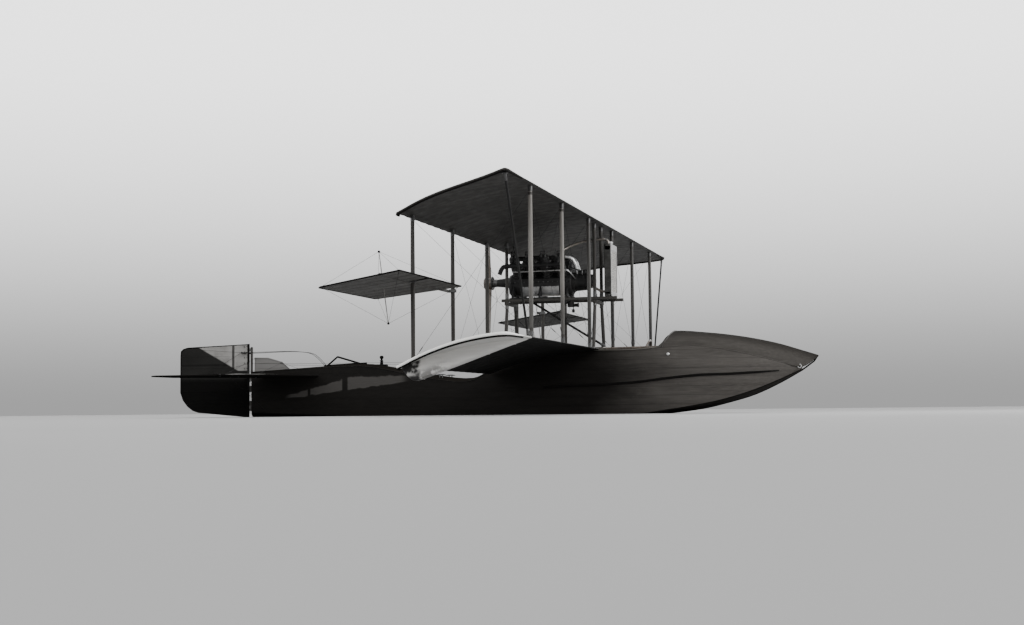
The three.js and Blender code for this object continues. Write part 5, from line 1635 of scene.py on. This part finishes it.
def deck_fittings():
    """Mooring post, fairlead, two bow rings, a cap on each side, cleats and a plate on the aft deck."""
    dress("deck_fairlead", STRAKE_WOOD)
    dress("mooring_post", STRAKE_WOOD)
    post, x = Shape(), -3.14
    top = [(0, 0.018), (0.008, 0.026), (0.028, 0.029), (0.04, 0.02), (0.045, 0.006)]
    post.turned((x, 0, 0.795), Z, top, 0, 20)
    post.turned((x, 0, 0.70), Z, [(0, 0.05), (0.012, 0.048), (0.02, 0.024), (0.05, 0.022)], 0, 20)
    post.tube([(x, -0.055, 0.765), (x, 0.055, 0.765)], 0.008, 0, 10)
    post.block((x - 0.08, -0.04, 0.69), (x + 0.08, 0.04, 0.714))
    post.piece("mooring_post_fittings", STRAKE_WOOD)
    rings = Shape()
    cap = [(0, 0.02), (0.008, 0.02), (0.016, 0.012)]
    for side in SIDES.values():
        rings.hoop((2.62, side * 0.112, 0.595), (side * -0.25, 1, 0), 0.022, 0.006, 0, 28, 10)
        rings.turned((0.964, side * 0.422, 0.769), Y * side, cap, 0, 16)
    rings.piece("bow_rings", TIN)
    cleats = Shape()
    row = smooth_row(AFT_HULL, -2.2)
    for side in SIDES.values():
        y, z = side * row[5] * 0.62, row[3] + DECK_CROWN * row[5] * 0.62
        horns = [(-2.27, y, z + 0.035), (-2.23, y, z + 0.04), (-2.17, y, z + 0.04), (-2.13, y, z + 0.035)]
        cleats.tube(horns, [0.004, 0.009, 0.009, 0.004], 0, 10)
        for x in (-2.22, -2.18):
            cleats.tube([(x, y, z - 0.01), (x, y, z + 0.038)], 0.007, 0, 8)
    cleats.piece("deck_cleats", STEEL)
    x, slope = -2.65, 0.19
    row = smooth_row(AFT_HULL, x)
    z = row[3] + DECK_CROWN * row[5]
    disc = [(0, 0.12), (0.024, 0.12), (0.03, 0.113), (0.032, 0.02)]
    normal = (slope, 0, 1)
    plate = Shape().turned((x, 0, z - 0.02), normal, disc, 0, 40)
    for spot in around(v(x, 0, z + 0.006), v(1, 0, -slope), Y, 0.1, 10):
        plate.turned(spot, normal, [(0, 0.005), (0.006, 0.003)], 0, 8)
    plate.piece("inspection_plate", STEEL)


FLOOR_RADIUS = 400
# The strength of the air's light by height: from, to, and its values there. The two are multiplied.
AIR_STRENGTH = ((0.0, 0.26, 0.42, 2.7), (0.3, 0.7, 1.0, 0.38))
CAMERA_PLACE = (4.189, -19.877, 0.05)
CAMERA_YAW, CAMERA_PITCH, CAMERA_ROLL = 0.2669, 0.0651, -0.0096
SENSOR_WIDTH, FOCAL_LENGTH = 36.0, 53.12


def lamp(name, place, target, size, power):
    """A round soft lamp that looks from its place to its target."""
    data = bpy.data.lights.new(name, "AREA")
    data.shape, data.size, data.energy = "DISK", size, power
    light = bpy.data.objects.new(name, data)
    light.location = place
    light.rotation_euler = (Vector(target) - Vector(place)).to_track_quat("-Z", "Y").to_euler()
    bpy.context.scene.collection.objects.link(light)


def studio():
    """Pale floor at the waterline, soft light from above, and the photo's camera close to the floor."""
    floor = Shape().add(around(v(0, 0, 0), X, Y, FLOOR_RADIUS, 64), [tuple(range(64))])
    ground = floor.piece("studio_ground", plain_floor(), body=None)

    world = bpy.data.worlds.new("studio_air")
    bpy.context.scene.world = world
    world.use_nodes = True
    nodes, links = world.node_tree.nodes, world.node_tree.links
    air, way = nodes["Background"], nodes.new("ShaderNodeTexCoord")
    split_way, product = nodes.new("ShaderNodeSeparateXYZ"), nodes.new("ShaderNodeMath")
    links.new(way.outputs["Generated"], split_way.inputs[0])
    product.operation = "MULTIPLY"
    for i, limits in enumerate(AIR_STRENGTH):
        step = nodes.new("ShaderNodeMapRange")
        step.interpolation_type = "SMOOTHSTEP"
        for socket, value in zip(("From Min", "From Max", "To Min", "To Max"), limits):
            step.inputs[socket].default_value = value
        links.new(split_way.outputs["Z"], step.inputs["Value"])
        links.new(step.outputs[0], product.inputs[i])
    links.new(product.outputs[0], air.inputs["Strength"])
    air.inputs["Color"].default_value = (1, 1, 1, 1)

    lamp("sky_light", (-2, 2, 12), (-2, 0, 0), 9.0, 300)
    lamp("bow_light", (11, -4.5, 8), (0.5, 0, 1), 5.0, 1100)

    level_way = v(-math.sin(CAMERA_YAW), math.cos(CAMERA_YAW), 0)
    ahead = level_way * math.cos(CAMERA_PITCH) + Z * math.sin(CAMERA_PITCH)
    across = ahead.cross(Z).normalized()
    over = across.cross(ahead)
    right = across * math.cos(CAMERA_ROLL) + over * math.sin(CAMERA_ROLL)
    up = over * math.cos(CAMERA_ROLL) - across * math.sin(CAMERA_ROLL)
    lens = bpy.data.cameras.new("photo_camera")
    lens.sensor_width, lens.lens = SENSOR_WIDTH, FOCAL_LENGTH
    camera = bpy.data.objects.new("photo_camera", lens)
    view = Matrix((right, up, -ahead)).transposed().to_4x4()
    camera.matrix_world = Matrix.Translation(CAMERA_PLACE) @ view
    bpy.context.scene.collection.objects.link(camera)
    bpy.context.scene.camera = camera


BUILDERS = (studio, wings, struts, aileron_brackets, rigging)
BUILDERS += (hull, foredeck, seam_strips, rub_strakes, coaming, seats, controls)
BUILDERS += (engine_mount, crankcase, cylinders, pipework, radiator, hoses_and_exhausts, propeller)
BUILDERS += (tip_floats, fin_and_rudder, tailplanes, ailerons, control_cables, deck_fittings)
for build in BUILDERS:
    build()
